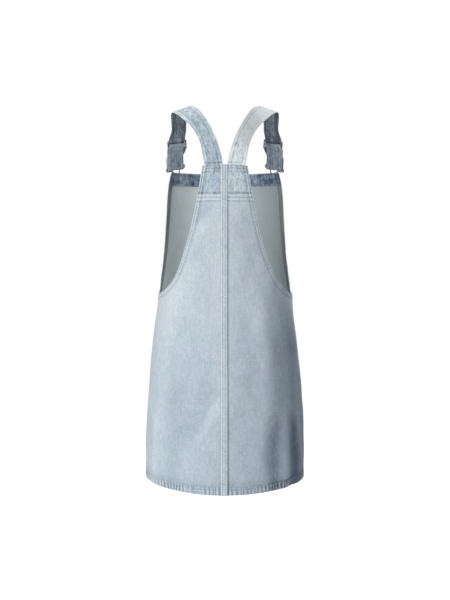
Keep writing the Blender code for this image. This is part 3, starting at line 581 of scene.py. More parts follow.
def cloth_noise(value, seed):
    """Smooth uneven numbers from -1 to 1 along a distance counted in steps."""
    value = np.asarray(value, float)
    cell = np.floor(value)
    share = value - cell
    ease = share * share * (3 - 2 * share)

    def scatter(index):
        return np.modf(np.abs(np.sin(index * 12.9898 + seed * 78.233) * 43758.5453))[0] * 2 - 1

    return scatter(cell) * (1 - ease) + scatter(cell + 1) * ease


def puckers(along, pitch, seed):
    """Uneven ridges and valleys from -1 to 1, at about one a pitch, along a row of stitches."""
    steps = along / pitch
    uneven = steps + 0.45 * cloth_noise(steps * 0.55, seed)
    strength = 0.55 + 0.45 * cloth_noise(steps * 0.41, seed + 5)
    return np.sin(2 * np.pi * uneven) * strength


def stripe(distance, middle, half):
    """1 on a line at a distance, and 0 more than about two half widths from it."""
    return np.exp(-((distance - middle) / half) ** 2)


def groove(distance, rows, half=GROOVE):
    """1 at rows of stitches, and 0 away from them."""
    return sum(stripe(distance, row, half) for row in np.atleast_1d(rows))


def edge_roll(distance, radius=ROUND_EDGE):
    """How far a face turns in towards a folded edge."""
    left = np.clip(1 - distance / radius, 0, 1)
    return radius * (1 - np.sqrt(1 - left ** 2)) * 0.96


def turned_edge(distance, along, depth, rows, pitch, seed, slant=0.0, ropy=0.25, row_shade_and_indigo=1.6):
    """Relief and wash of an edge that is turned in and stitched.

    distance is from the folded edge, along is along it, and depth is the turning's. slant leans the
    puckers, ropy is how strongly they show, and row_shade_and_indigo how dark each row is, partly kept
    indigo and partly painted shade in its groove. Gives how far the outer face rises, how far the inner
    face goes in beyond one layer of cloth, how much paler the cloth is, as wear and in places painted
    highlight, and how much darker, as kept indigo and in places painted shade.
    """
    inside = 1 - smooth(distance, depth, depth + STEP)
    wave = puckers(along + slant * distance, pitch, seed)
    if ropy > 0.5:
        # a hem's strong puckers are crossed by finer and less even ones
        finer = puckers(along - 0.4 * distance, pitch * 0.61, seed + 1)
        wave = 0.62 * wave + 0.55 * finer * (0.6 + 0.4 * cloth_noise(along / 0.03, seed + 2))
    window = smooth(distance, 0.0, 0.0015) * (1 - smooth(distance, depth - 0.001, depth + 0.003))
    held = groove(distance, rows)
    wave = wave * (0.4 + 1.6 * ropy)
    roll = edge_roll(distance)
    outer = inside * HEM_RISE - held * STITCH_DEPTH[0] + wave * window * PUCKER_HEIGHT[0] - roll
    inner = inside * TURNING - held * STITCH_DEPTH[1] - wave * window * PUCKER_HEIGHT[1] - roll
    # pale on the fold and on the puckers' tops as wear, and between the rows as wear and painted highlight;
    # dark in the hollows as kept indigo and painted shade, with a painted shadow line past the turning's edge
    lighter = np.exp(-distance / EDGE_WORN) * (0.9 + 0.25 * wave) + np.clip(wave, 0, 1) * window * 0.8 * ropy
    lighter += 0.35 * stripe(distance, depth * 0.56, 0.0018)
    shade = groove(distance, rows, ROW_SHADE) * row_shade_and_indigo + np.clip(-wave, 0, 1) * window * 1.3 * ropy
    shade += 0.85 * stripe(distance, depth + 0.0008, 0.0010)
    return outer, inner, lighter, shade


def face_in_band(values):
    """The mean of each face's four corners, for a grid of values."""
    return (values[:-1, :-1] + values[1:, :-1] + values[:-1, 1:] + values[1:, 1:]) / 4


def cloth_shell(name, outer, inner, chart, pale, deep, materials, inner_faces=None, flip=False,
                inner_wash_and_shade=None):
    """A closed shell of cloth between two grids of points.

    chart is each point's place on the flat cloth in metres, pale and deep its wash with any painted light
    and shade, inner_wash_and_shade the same for its inner face, and inner_faces tells which of that face's
    quads show the third material.
    """
    rows, columns = outer.shape[:2]
    count = rows * columns
    index = np.arange(count).reshape(rows, columns)
    quads = np.stack((index[:-1, :-1], index[1:, :-1], index[1:, 1:], index[:-1, 1:]), -1).reshape(-1, 4)
    backs = quads[:, ::-1] + count
    ring = np.concatenate((index[:, 0], index[-1, 1:], index[-2::-1, -1], index[0, -2:0:-1]))
    following = np.roll(ring, -1)
    rim = np.stack((following, ring, ring + count, following + count), -1)
    faces = np.vstack((quads, backs, rim))
    if flip:
        faces = faces[:, ::-1]
    mesh = bpy.data.meshes.new(name)
    mesh.vertices.add(2 * count)
    mesh.vertices.foreach_set("co", np.vstack((outer.reshape(-1, 3), inner.reshape(-1, 3))).ravel())
    mesh.loops.add(faces.size)
    mesh.loops.foreach_set("vertex_index", faces.ravel())
    mesh.polygons.add(len(faces))
    mesh.polygons.foreach_set("loop_start", np.arange(0, faces.size, 4))
    mesh.polygons.foreach_set("loop_total", np.full(len(faces), 4))
    for material in materials:
        mesh.materials.append(material)
    wrong_side = np.full(len(quads), min(1, len(materials) - 1))
    if inner_faces is not None:
        wrong_side[inner_faces.ravel()] = 2
    mesh.polygons.foreach_set("material_index", np.concatenate((np.zeros(len(quads), int), wrong_side,
                                                                np.zeros(len(rim), int))))
    layout = mesh.uv_layers.new(name="cloth")
    flat = np.vstack((chart.reshape(-1, 2), chart.reshape(-1, 2)))
    layout.data.foreach_set("uv", flat[faces.ravel()].ravel())
    for title, values, inner_values in zip(("pale", "deep"), (pale, deep), inner_wash_and_shade or (pale, deep)):
        wash = mesh.attributes.new(title, "FLOAT", "POINT")
        wash.data.foreach_set("value", np.concatenate((values.ravel(), inner_values.ravel())))
    mesh.update()
    mesh.validate()
    mesh.shade_smooth()
    thing = bpy.data.objects.new(name, mesh)
    scene.collection.objects.link(thing)
    return thing


def new_group(name, inputs, outputs):
    """An empty shader group with its sockets. Gives the group and its two end nodes."""
    group = bpy.data.node_groups.new(name, "ShaderNodeTree")
    for title, kind, value in inputs:
        made = group.interface.new_socket(title, in_out="INPUT", socket_type="NodeSocket" + kind)
        if value is not None:
            made.default_value = value
    for title, kind in outputs:
        group.interface.new_socket(title, in_out="OUTPUT", socket_type="NodeSocket" + kind)
    return group, add_node(group, "NodeGroupInput").outputs, add_node(group, "NodeGroupOutput").inputs


def noise(tree, place, scale, detail, rough=0.5):
    """Soft noise from 0 to 1."""
    return add_node(tree, "ShaderNodeTexNoise", {"Vector": place, "Scale": scale, "Detail": detail,
                                                 "Roughness": rough}).outputs["Fac"]


def blend(tree, share, low, high, **settings):
    """A mix of two colours."""
    return add_node(tree, "ShaderNodeMix", {0: share, 6: low, 7: high}, data_type="RGBA",
                    **settings).outputs[2]


def washed_group():
    """Indigo washed out unevenly: cloudy patches, streaks along the warp, and pale flecks.

    Cloth is in metres, level is how far the colour is washed out, from 0 for raw indigo to 1 for white.
    """
    group, given, result = new_group(
        "washed indigo",
        [("Cloth", "Vector", None), ("Level", "Float", 0.7), ("Patches", "Float", 0.2),
         ("Marbling", "Float", 0.1), ("Streaks", "Float", 0.2), ("Flecks", "Float", 0.2),
         ("Veins", "Float", 0.06), ("Pale", "Float", 0.0), ("Deep", "Float", 0.0),
         ("Lightened By", "Float", 0.25), ("Darkened By", "Float", 0.25),
         ("Darkest", "Color", (0.05, 0.08, 0.15, 1)), ("Middle", "Color", (0.3, 0.4, 0.5, 1)),
         ("Palest", "Color", (0.8, 0.85, 0.9, 1))],
        [("Color", "Color")])

    def cloud(stretch, scale, detail, rough=0.5):
        """Soft patches, from -0.5 to 0.5."""
        placed = add_node(group, "ShaderNodeVectorMath", {0: given["Cloth"], 1: stretch},
                          operation="MULTIPLY").outputs[0]
        return maths(group, "SUBTRACT", noise(group, placed, scale, detail, rough), 0.5)

    def veins(scale, thin):
        """Thin curling lines, 1 on a line and 0 away from it."""
        off = maths(group, "ABSOLUTE", cloud((1.0, 0.75, 1), scale, 2, 0.6))
        return maths(group, "SUBTRACT", 1.0, maths(group, "MULTIPLY", off, thin), clamp=True)

    level = given["Level"]
    for share, amount in ((veins(85, 22), "Veins"), (veins(190, 16), "Veins"),
                          (cloud((1, 0.7, 1), 26, 3), "Patches"), (cloud((1.2, 0.8, 1), 95, 2), "Patches"),
                          (cloud((1, 0.34, 1), 230, 3, 0.65), "Marbling"),
                          (cloud((560, 24, 1), 1, 2, 0.6), "Streaks"),
                          (cloud((1500, 60, 1), 1, 1), "Streaks"),
                          (cloud((1, 0.8, 1), 420, 2, 0.7), "Flecks"), (cloud((1, 1, 1), 1100, 1), "Flecks")):
        level = maths(group, "MULTIPLY_ADD", share, given[amount], level)
    # the veins alone would make the whole cloth paler
    level = maths(group, "MULTIPLY_ADD", given["Veins"], -0.7, level)
    # Pale and Deep: wear and kept indigo, and in places painted light and painted shade
    level = maths(group, "MULTIPLY_ADD", given["Pale"], given["Lightened By"], level)
    darkening = maths(group, "MULTIPLY", given["Deep"], given["Darkened By"])
    level = maths(group, "SUBTRACT", level, darkening, clamp=True)
    low = blend(group, maths(group, "MULTIPLY", level, 2.0), given["Darkest"], given["Middle"],
                clamp_factor=True)
    high = blend(group, maths(group, "MULTIPLY_ADD", level, 2.0, -1.0), low, given["Palest"],
                 clamp_factor=True)
    # the colour drifts a little between green and violet over a hand's breadth
    drift = maths(group, "MULTIPLY_ADD", cloud((1, 0.8, 1), 19, 2), 2.6, 0.5, clamp=True)
    cast = blend(group, drift, (0.975, 1.0, 0.99, 1), (1.01, 0.995, 1.012, 1))
    tinted = blend(group, 1.0, high, cast, blend_type="MULTIPLY")
    group.links.new(tinted, result["Color"])
    return group


def twill_group():
    """The height of twill: slanting ribs, crossed by yarns along the cloth, some thick and some thin."""
    group, given, result = new_group(
        "twill", [("Cloth", "Vector", None), ("Rib", "Float", 0.0009), ("Yarn", "Float", 0.00045)],
        [("Height", "Float")])
    apart = add_node(group, "ShaderNodeSeparateXYZ", {0: given["Cloth"]}).outputs
    slant = maths(group, "MULTIPLY_ADD", apart["Y"], 0.55, apart["X"])
    full = 2 * math.pi
    rib, yarn = [maths(group, "SINE", maths(group, "DIVIDE", maths(group, "MULTIPLY", way, full), pitch))
                 for way, pitch in ((slant, given["Rib"]), (apart["X"], given["Yarn"]))]
    placed = add_node(group, "ShaderNodeVectorMath", {0: given["Cloth"], 1: (900, 40, 1)},
                      operation="MULTIPLY").outputs[0]
    slub = noise(group, placed, 1.0, 2.0)
    height = maths(group, "MULTIPLY_ADD", yarn, 0.12, maths(group, "MULTIPLY", rib, 0.30))
    height = maths(group, "MULTIPLY_ADD", slub, 1.1, height)
    group.links.new(height, result["Height"])
    return group


WASHED = washed_group()
TWILL = twill_group()
TWILL_RELIEF = 0.00025    # the depth of the weave


def denim(name, look, colours, roughness, bump, sheen):
    """A cloth material: washed indigo over twill. look sets the wash, colours run from dark to pale."""
    made, tree, shader = new_material(name, {"Roughness": roughness, "Sheen Weight": sheen,
                                             "Sheen Roughness": 0.55, "Specular IOR Level": 0.25})
    cloth = add_node(tree, "ShaderNodeUVMap", uv_map="cloth").outputs["UV"]
    wash = {title: add_node(tree, "ShaderNodeAttribute", attribute_name=title.lower()).outputs["Fac"]
            for title in ("Pale", "Deep")}
    shades = dict(zip(("Darkest", "Middle", "Palest"), [(*colour, 1) for colour in colours]))
    washed = add_node(tree, "ShaderNodeGroup", {"Cloth": cloth, **wash, **look, **shades}, node_tree=WASHED)
    twill = add_node(tree, "ShaderNodeGroup", {"Cloth": cloth}, node_tree=TWILL)
    raised = add_node(tree, "ShaderNodeBump", {"Strength": bump, "Distance": TWILL_RELIEF,
                                               "Height": twill.outputs["Height"]})
    tree.links.new(washed.outputs["Color"], shader.inputs["Base Color"])
    tree.links.new(raised.outputs[0], shader.inputs["Normal"])
    return made


RIGHT_SIDE = denim("washed denim",
                   {"Level": 0.66, "Patches": 0.13, "Streaks": 0.20, "Flecks": 0.32, "Lightened By": 0.20,
                    "Darkened By": 0.22},
                   ((0.083, 0.112, 0.160), (0.386, 0.452, 0.520), (0.800, 0.832, 0.840)), 0.88, 0.6, 0.10)
WRONG_SIDE = denim("denim wrong side",
                   {"Level": 0.815, "Patches": 0.10, "Streaks": 0.12, "Flecks": 0.20, "Veins": 0.015,
                    "Lightened By": 0.16, "Darkened By": 0.40},
                   ((0.14, 0.17, 0.19), (0.38, 0.43, 0.44), (0.78, 0.83, 0.83)), 0.92, 0.45, 0.08)
# a darker, greyer copy of the washed denim for the turned-in hems: painted shade for the shade inside the
# dress
TURNED_IN_SHADED = denim("turned-in denim in painted shade",
                  {"Level": 0.52, "Patches": 0.20, "Marbling": 0.30, "Streaks": 0.30, "Flecks": 0.40,
                   "Lightened By": 0.20, "Darkened By": 0.22},
                  ((0.075, 0.083, 0.092), (0.29, 0.31, 0.325), (0.66, 0.68, 0.67)), 0.9, 0.6, 0.08)
PANEL_CLOTHS = [RIGHT_SIDE, WRONG_SIDE, TURNED_IN_SHADED]


def finish_cloth(thing, node):
    """Hangs a cloth piece under the root and hides the solid it replaces."""
    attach(thing, "root")
    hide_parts(node)


def flat_chart(angle, height):
    """Where points of the tube lie on the flat cloth, in metres, from the panel's own middle."""
    middle = np.where(np.cos(angle) > 0, 0.0, np.sign(angle) * np.pi)
    across = (angle - middle) * arc_per_angle(np.zeros_like(angle), height)
    return np.stack((across, height + np.zeros_like(angle)), -1)


def panel_relief(angle, height, edge, seed):
    """The rise of a panel's outer face, how far its inner face lies behind it, and its wash."""
    from_armhole, along = edge.nearest(np.abs(angle), height)
    outer, inner, pale, deep = turned_edge(from_armhole, along, ARMHOLE_HEM, ARMHOLE_STITCHES, PUCKER, seed,
                                           ropy=0.42)
    turn = arc_per_angle(angle, height)
    from_hem = height - hem_height(angle)
    hem = turned_edge(from_hem, flat_chart(angle, height)[..., 0], SKIRT_HEM, HEM_STITCHES, ROPING,
                      seed + 11, slant=0.06, ropy=1.5, row_shade_and_indigo=0.25)
    outer, inner = outer + hem[0], np.maximum(inner, hem[1])
    # painted shade makes the skirt's hem darkest at the back's right, the side away from the light
    at_back = smooth(np.cos(angle), 0.0, 0.2)
    pale = pale + hem[2] * 0.8 + 0.7 * stripe(from_hem, SKIRT_HEM, 0.0007)
    deep = deep + hem[3] * (0.68 + 1.05 * smooth(angle, 0.45, 0.80) * at_back)
    # the hem's band is darker, and painted shade darkens a strip just above it
    deep += 0.4 * (1 - smooth(from_hem, 0.013, 0.016)) + 0.4 * stripe(from_hem, 0.021, 0.009)
    # the side seam: a groove outside, its two turnings inside, and loose waves beside it
    from_side = np.abs(np.pi / 2 - np.abs(angle)) * turn
    turning = 1 - smooth(from_side, SIDE_ALLOWANCE, SIDE_ALLOWANCE + STEP)
    slack = puckers(height, SIDE_SLACK_PITCH, seed + 3) * stripe(from_side, 0, 0.012)
    outer += SIDE_SLACK * slack - SIDE_SEAM_DEPTH * stripe(from_side, 0, 0.0010)
    inner += SIDE_TURNING * turning * smooth(from_armhole, 0.010, 0.014)
    pale += 0.35 * stripe(from_side, 0.0022, 0.0016) * (0.6 + 0.4 * slack)
    deep += 0.45 * stripe(from_side, 0, 0.0012)
    deep += SKIRT_KEPT * smooth(height, -0.40, -0.60) * (angle < 0) * at_back
    # paler and darker along the folds: wear on the ridges, and painted light and painted shade
    lighter = fold_rise(angle, height, FOLD_WEAR_AND_SHADING) * FOLD_TONE_SHARE
    return outer, inner, pale + np.maximum(lighter, 0), deep + np.maximum(-lighter, 0), from_armhole, from_hem


TOP_ROWS = [0.0, 0.0003, 0.0008, 0.0014, 0.0021, 0.0029, 0.0037, 0.0045, 0.0054, 0.0064, 0.0076, 0.0088,
            0.0099, 0.0107, 0.0114, 0.0121, 0.0130, 0.0142]
BACK_COLUMNS = 108
SKIRT_KEPT = 0.36         # the left of the skirt has kept this much more of its indigo than the top
RIGHT_DEPTHS = (0.20, 0.45, 0.75)
RIGHT_PANEL_SHADE = (0.16, 0.36, 0.68)           # painted shade on the right back panel, which turns from the light, at these depths
LAP_LEFT, LAP_RIGHT = -0.0084, 0.0050     # edges of the centre back seam, from the dress's middle
SEAM_RISE = 0.00065       # how far the felled seam under the yoke stands proud
back_edge = armhole(BACK_ARMHOLE, False, YOKE_SEAM)


def back_face(angle, height, seed):
    """Relief of a back panel, with the felled seam under the yoke."""
    outer, inner, pale, deep, from_armhole, from_hem = panel_relief(angle, height, back_edge, seed)
    drop = YOKE_SEAM - height
    wave = puckers(angle * SEAM_CHART, SEAM_PUCKER, seed + 7)
    near = 1 - smooth(drop, SEAM_ALLOWANCE, SEAM_ALLOWANCE + 0.0009)
    outer += near * SEAM_RISE - groove(drop, SEAM_STITCHES) * 0.0004 + near * wave * 0.00008
    outer -= edge_roll(drop, 0.0009)
    pale += np.exp(-drop / 0.0012) * 0.8 + near * np.clip(wave, 0, 1) * 0.15
    pale += 0.5 * stripe(drop, 0.0085, 0.0016)
    # darker in the rows' grooves and the puckers' hollows, partly kept indigo and partly painted shade, and a
    # painted shadow line where the felled layers end
    deep += groove(drop, SEAM_STITCHES, ROW_SHADE) * 1.1 + near * np.clip(-wave, 0, 1) * 0.15
    deep += 1.2 * stripe(drop, SEAM_ALLOWANCE + 0.0006, 0.0009)
    # the cloth dips right of the raised centre seam, and painted shadow lines both its sides,
    # most of all on its right and lower down
    across = flat_chart(angle, height)[..., 0]
    dip_and_shadow_right_of_lap = stripe(across, LAP_RIGHT + 0.0014, 0.0015)
    shade_left_of_lap = stripe(across, LAP_LEFT - 0.0010, 0.0009)
    outer -= 0.0003 * dip_and_shadow_right_of_lap
    deep += (1.6 + 0.9 * smooth(-height, 0.55, 0.80)) * dip_and_shadow_right_of_lap + 0.6 * shade_left_of_lap
    # painted shade over the right back panel
    deep += np.interp(-height, RIGHT_DEPTHS, RIGHT_PANEL_SHADE) * (across > LAP_RIGHT)
    return outer, inner, pale, deep, from_armhole, from_hem


for side, seed in BACK_SEEDS.items():
    name = "back_panel_" + SIDE_NAMES[side]
    angle, height = half_panel(back_edge, 0.0, YOKE_SEAM, TOP_ROWS, BACK_COLUMNS,
                               row_by_armhole=0.0023, row_by_side=0.0040)
    angle = angle * side
    outer, inner, pale, deep, from_armhole, from_hem = back_face(angle, height, seed)
    turned = (face_in_band(from_armhole) < ARMHOLE_HEM) | (face_in_band(from_hem) < SKIRT_HEM)
    panel = cloth_shell(name + "_cloth", tube(angle, height, outer), tube(angle, height, -CLOTH - inner),
                        flat_chart(angle, height), pale, deep, PANEL_CLOTHS, turned, side < 0)
    finish_cloth(panel, name)

# === Back yoke ====================================================================================
# The short double-stitched yoke over the shoulder blades, cut in two halves of the same twill. Its
# top and armhole edges are turned in, and its lower edge is felled over the back panels.
YOKE_TOP = -0.1345
YOKE_TOP_DROP = 0.0022    # the yoke's top is this much lower at its ends
YOKE_TOP_HEM = 0.0138
YOKE_TOP_STITCHES = (0.0020, 0.0074)
YOKE_FOOT = 0.0056        # its felled lower edge
YOKE_SPACING = 0.0010
YOKE_CHART = 0.105        # as CHART, at the yoke
YOKE_CUT_AT = (0.3, 0.1)  # where on the cloth it is cut, in metres
YOKE_LEFT_KEPT = 0.25     # its left half has kept more of its indigo
YOKE_SEEDS = {1: 21, -1: 27}
EDGE_ROWS = [0.0, 0.0002, 0.0005, 0.0010]

YOKE_CLOTH = denim("washed yoke denim",
                   {"Level": 0.585, "Patches": 0.36, "Marbling": 0.88, "Streaks": 0.30, "Flecks": 0.36,
                    "Veins": 0.10, "Lightened By": 0.30, "Darkened By": 0.28},
                   ((0.083, 0.116, 0.165), (0.376, 0.456, 0.522), (0.800, 0.835, 0.845)), 0.88, 0.6, 0.10)
yoke_edge = armhole(BACK_ARMHOLE, False, BACK_ARMHOLE[0].height)


def graded(length, spacing):
    """Shares of a length at an even spacing, closer together at both ends."""
    ends = np.array(EDGE_ROWS)
    middle = spread(ends[-1] + spacing * 0.8, length - ends[-1] - spacing * 0.8, spacing)
    return np.concatenate((ends, middle, length - ends[::-1])) / length


def yoke_top(angle):
    """The yoke's top edge, which is a little lower towards its ends."""
    end = angle_at(BACK_ARMHOLE[0].half_width, BACK_ARMHOLE[0].height)
    return YOKE_TOP - YOKE_TOP_DROP * (np.abs(angle) / end) ** 2


def yoke_face(angle, height, seed):
    """Relief and wash of the yoke."""
    from_armhole, along = yoke_edge.nearest(np.abs(angle), height)
    outer, inner, pale, deep = turned_edge(from_armhole, along, ARMHOLE_HEM, ARMHOLE_STITCHES, PUCKER, seed)
    inner *= smooth(YOKE_TOP - height, 0.017, 0.021)
    across = angle * YOKE_CHART
    top = turned_edge(yoke_top(angle) - height, across, YOKE_TOP_HEM, YOKE_TOP_STITCHES, PUCKER, seed + 4)
    up = height - YOKE_SEAM
    foot = turned_edge(up, across, YOKE_FOOT, SEAM_STITCHES, SEAM_PUCKER, seed + 7)
    outer = outer + top[0] + foot[0] + 0.00050 * (1 - smooth(up, YOKE_FOOT, YOKE_FOOT + STEP))
    inner = inner - edge_roll(yoke_top(angle) - height) - edge_roll(up)
    return outer, inner, pale + top[2] + foot[2], deep + top[3] + foot[3] * 1.1


for side, seed in YOKE_SEEDS.items():
    name = "back_yoke_" + SIDE_NAMES[side]
    end_top = yoke_top(yoke_edge.points[0, 0])
    down = graded(end_top - YOKE_SEAM, YOKE_SPACING)[:, None]
    last = yoke_edge.at(yoke_edge.distance_to(end_top + (YOKE_SEAM - end_top) * down[:, 0]))[:, :1]
    angle = last * graded(BACK_ARMHOLE[1].half_width, YOKE_SPACING)
    height = yoke_top(angle) + (YOKE_SEAM - yoke_top(angle)) * down
    outer, inner, pale, deep = yoke_face(angle, height, seed)
    if side < 0:
        deep += YOKE_LEFT_KEPT
    angle = angle * side
    yoke = cloth_shell(name + "_cloth", tube(angle, height, outer), tube(angle, height, -CLOTH - inner),
                       flat_chart(angle, height) + YOKE_CUT_AT, pale, deep, [YOKE_CLOTH], flip=side < 0)
    finish_cloth(yoke, name)

# === Centre back seam =============================================================================
# The lapped seam that joins the two halves of the back, from the yoke's top to the hem: its folded
# layers stand proud as a band, held by two rows of stitches that pull it into close little puckers.
LAP_STITCHES = (-0.0055, 0.0014)          # from the dress's middle
LAP_HEIGHT = 0.0013
LAP_PUCKER = 0.0045
LAP_ROW = 0.0013
LAP_CUT_AT = (0.7, 0.0)
OVER_SEAM = 0.0004        # it stands this much higher where it crosses the yoke seam

LAP_CLOTH = denim("washed seam denim",
                  {"Level": 0.645, "Patches": 0.20, "Streaks": 0.10, "Flecks": 0.20, "Lightened By": 0.24,
                   "Darkened By": 0.30},
                  ((0.080, 0.110, 0.145), (0.37, 0.43, 0.475), (0.81, 0.835, 0.825)), 0.88, 0.5, 0.10)


def lap_face(x, height):
    """Relief and wash of the raised seam."""
    from_edge = np.minimum(x - LAP_LEFT, LAP_RIGHT - x)
    wave = puckers(height + 0.35 * x, LAP_PUCKER, 41) * (0.6 + 0.4 * cloth_noise(height / 0.05, 43))
    window = smooth(from_edge, 0.0, 0.0014)
    held = groove(x, LAP_STITCHES, 0.0008)
    outer = LAP_HEIGHT - edge_roll(from_edge, 0.0010) + wave * window * 0.00018 - held * 0.00030
    outer += OVER_SEAM * stripe(height, YOKE_SEAM, 0.008)
    # pale on both edges, as wear and painted highlight, and on the puckers' tops; darker in the rows' grooves
    # and the hollows, partly kept indigo and partly painted shade
    pale = np.exp(-from_edge / 0.0011) * 0.9 + np.clip(wave, 0, 1) * window * 0.5
    deep = groove(x, LAP_STITCHES, ROW_SHADE) * 0.5 + np.clip(-wave, 0, 1) * window * 0.7
    return outer, pale, deep


x = LAP_LEFT + (LAP_RIGHT - LAP_LEFT) * graded(LAP_RIGHT - LAP_LEFT, 0.0007)[None, :]
down = graded(YOKE_TOP - hem_height(0.0), LAP_ROW)[:, None]
angle = angle_at(x, YOKE_TOP + (hem_height(0.0) - YOKE_TOP) * down)
height = yoke_top(angle) + (hem_height(angle) - yoke_top(angle)) * down
outer, pale, deep = lap_face(x, height)
lap = cloth_shell("centre_back_seam_cloth", tube(angle, height, outer), tube(angle, height, 0.0),
                  flat_chart(angle, height) + LAP_CUT_AT, pale, deep, [LAP_CLOTH])
finish_cloth(lap, "centre_back_seam")

# === Front panel ==================================================================================
# Bib and skirt front, cut in one. From behind it shows its grey wrong side through the armholes, with
# the bluer turned-in hems along them. Its side seams join it to the back panels.
BIB_TOP = -0.134
FACING_DEPTH = 0.0295
FACING_STITCHES = (0.0022, 0.0270)        # rows from the bib's top, through bib and facing
FRONT_TURNING = 0.0060    # how far its top edge is turned in under the facing
FRONT_COLUMNS = 84
FRONT_CUT_AT = (1.0, 0.0)
FRONT_SEED = 31
INSIDE_PAINTED_LIGHT = 0.9         # painted light: the wrong side is paler low on the left
INSIDE_PAINTED_SHADE = (1.0, 0.5)  # painted shade: it is darker on the right, at the top and low down
STRIP_SHADOW_LINE = 1.8          # a painted shadow line beside its turned-in armhole hems
FRONT_ARMHOLE = [
    EdgePoint(0.1240, -0.1340),
    EdgePoint(0.1277, -0.1482),
    EdgePoint(0.1310, -0.1666),
    EdgePoint(0.1337, -0.1941),
    EdgePoint(0.1366, -0.2492),
    EdgePoint(0.1399, -0.3045),
    EdgePoint(0.1446, -0.3596),
    EdgePoint(0.1485, -0.4003),
]
front_edge = armhole(FRONT_ARMHOLE, True, BIB_TOP)
TOP_ROWS_FRONT = [0.0, 0.0003, 0.0008, 0.0014, 0.0022, 0.0030, 0.0042, 0.0060, 0.0080, 0.0105, 0.0130,
                  0.0155, 0.0180, 0.0205, 0.0230, 0.0250, 0.0262, 0.0270, 0.0278, 0.0290, 0.0300, 0.0315]


def front_face(angle, height, seed):
    """Relief and wash of the front, with the rows of stitches that hold the facing."""
    outer, inner, pale, deep, from_armhole, from_hem = panel_relief(angle, height, front_edge, seed)
    drop = BIB_TOP - height
    across = flat_chart(angle, height)[..., 0]
    top = turned_edge(drop, across, FRONT_TURNING, FACING_STITCHES, PUCKER, seed + 7)
    outer = outer + top[0]
    inner = inner * smooth(drop, FACING_DEPTH - 0.001, FACING_DEPTH + 0.001) - edge_roll(drop)
    return outer, inner, pale + top[2], deep + top[3], from_armhole, from_hem


angle, height = half_panel(front_edge, np.pi, BIB_TOP, TOP_ROWS_FRONT, FRONT_COLUMNS,
                           row_by_armhole=0.0028, row_by_side=0.0044)
angle = np.hstack((-angle[:, :0:-1], angle))
height = np.hstack((height[:, :0:-1], height))
outer, inner, pale, deep, from_armhole, from_hem = front_face(angle, height, FRONT_SEED)
turned = (face_in_band(from_armhole) < ARMHOLE_HEM) | (face_in_band(from_hem) < SKIRT_HEM)
on_right = smooth(np.sin(angle), 0.1, 0.6)
low = smooth(-height, 0.26, 0.40)
inner_pale = INSIDE_PAINTED_LIGHT * low * (1 - on_right)
inner_deep = (INSIDE_PAINTED_SHADE[0] + (INSIDE_PAINTED_SHADE[1] - INSIDE_PAINTED_SHADE[0]) * low) * on_right
inner_deep += STRIP_SHADOW_LINE * stripe(from_armhole, ARMHOLE_HEM + 0.0013, 0.0012)
# painted shade on the turned-in hems' inner faces
inner_deep = np.where(from_armhole < ARMHOLE_HEM + 0.0002, deep * 0.6 + 0.3, inner_deep)
front = cloth_shell("front_panel_cloth", tube(angle, height, outer), tube(angle, height, -CLOTH - inner),
                    flat_chart(angle, height) + FRONT_CUT_AT, pale, deep, PANEL_CLOTHS, turned, True,
                    (inner_pale, inner_deep))
finish_cloth(front, "front_panel")

# === Bib facing ===================================================================================
# A band of darker, cloudier indigo twill turned down inside the bib's top and stitched along its
# lower edge: partly its own deeper indigo, partly painted shade for the shade inside the bib. The feet
# of the two buttons press through it as small worn bumps.
FACING_GAP = 0.0003       # between it and the bib
FACING_HIGH = FACING_DEPTH - FACING_GAP
FACING_ROW, FACING_COLUMN = 0.0013, 0.0017
FACING_LONG = 0.27        # along its curve, for an even spacing of its columns
FACING_TURNINGS = (0.0050, 0.0052)        # at its top and its lower edge
FACING_CUT_AT = (1.6, 0.0)
BUTTON_AT = (0.1093, -0.1537)             # on the right: from the dress's middle, and height
BUMP = 0.0062                             # radius of the bump over a button's foot
BUMP_HIGH = 0.0010

FACING_CLOTH = denim("indigo facing denim",
                     {"Level": 0.38, "Patches": 1.30, "Streaks": 0.45, "Flecks": 0.50, "Lightened By": 0.25,
                      "Darkened By": 0.26},
                     ((0.045, 0.065, 0.130), (0.26, 0.33, 0.40), (0.62, 0.68, 0.72)), 0.9, 0.5, 0.10)

drop = FACING_HIGH * graded(FACING_HIGH, FACING_ROW)[:, None]
half = np.pi - front_edge.at(front_edge.distance_to(BIB_TOP - drop[:, 0]))[:, :1]
share = graded(FACING_LONG, FACING_COLUMN)[None, :] * 2 - 1
angle = np.where(share < 0, -np.pi - share * half, np.pi - share * half)
height = BIB_TOP - drop + np.zeros_like(angle)
across = flat_chart(angle, height)[..., 0]
from_armhole, along = front_edge.nearest(np.abs(angle), height)
sides = turned_edge(from_armhole, along, ARMHOLE_HEM, ARMHOLE_STITCHES, PUCKER, 51)
foot = turned_edge(FACING_HIGH - drop, across, FACING_TURNINGS[1], FACING_DEPTH - FACING_STITCHES[1],
                   PUCKER, 55)
top = turned_edge(drop, across, FACING_TURNINGS[0], FACING_STITCHES[0], PUCKER, 57)
rise, lighter, darkening = [sides[kind] + foot[kind] + top[kind] for kind in (0, 2, 3)]
middle = angle_at(BUTTON_AT[0], BUTTON_AT[1], True)
from_button = np.hypot((np.abs(angle) - middle) * arc_per_angle(middle, BUTTON_AT[1]),
                       height - BUTTON_AT[1])
inner = 0.3 * rise + BUMP_HIGH * np.exp(-(from_button / BUMP) ** 4)
pale = 0.6 * lighter + 0.5 * stripe(from_button, BUMP, 0.0012)
deep = 0.6 * darkening + 0.9 * np.exp(-(from_button / (BUMP * 1.3)) ** 4)
deep += 0.4 * smooth(np.sin(angle), 0.2, 0.6)       # a little darker on the right
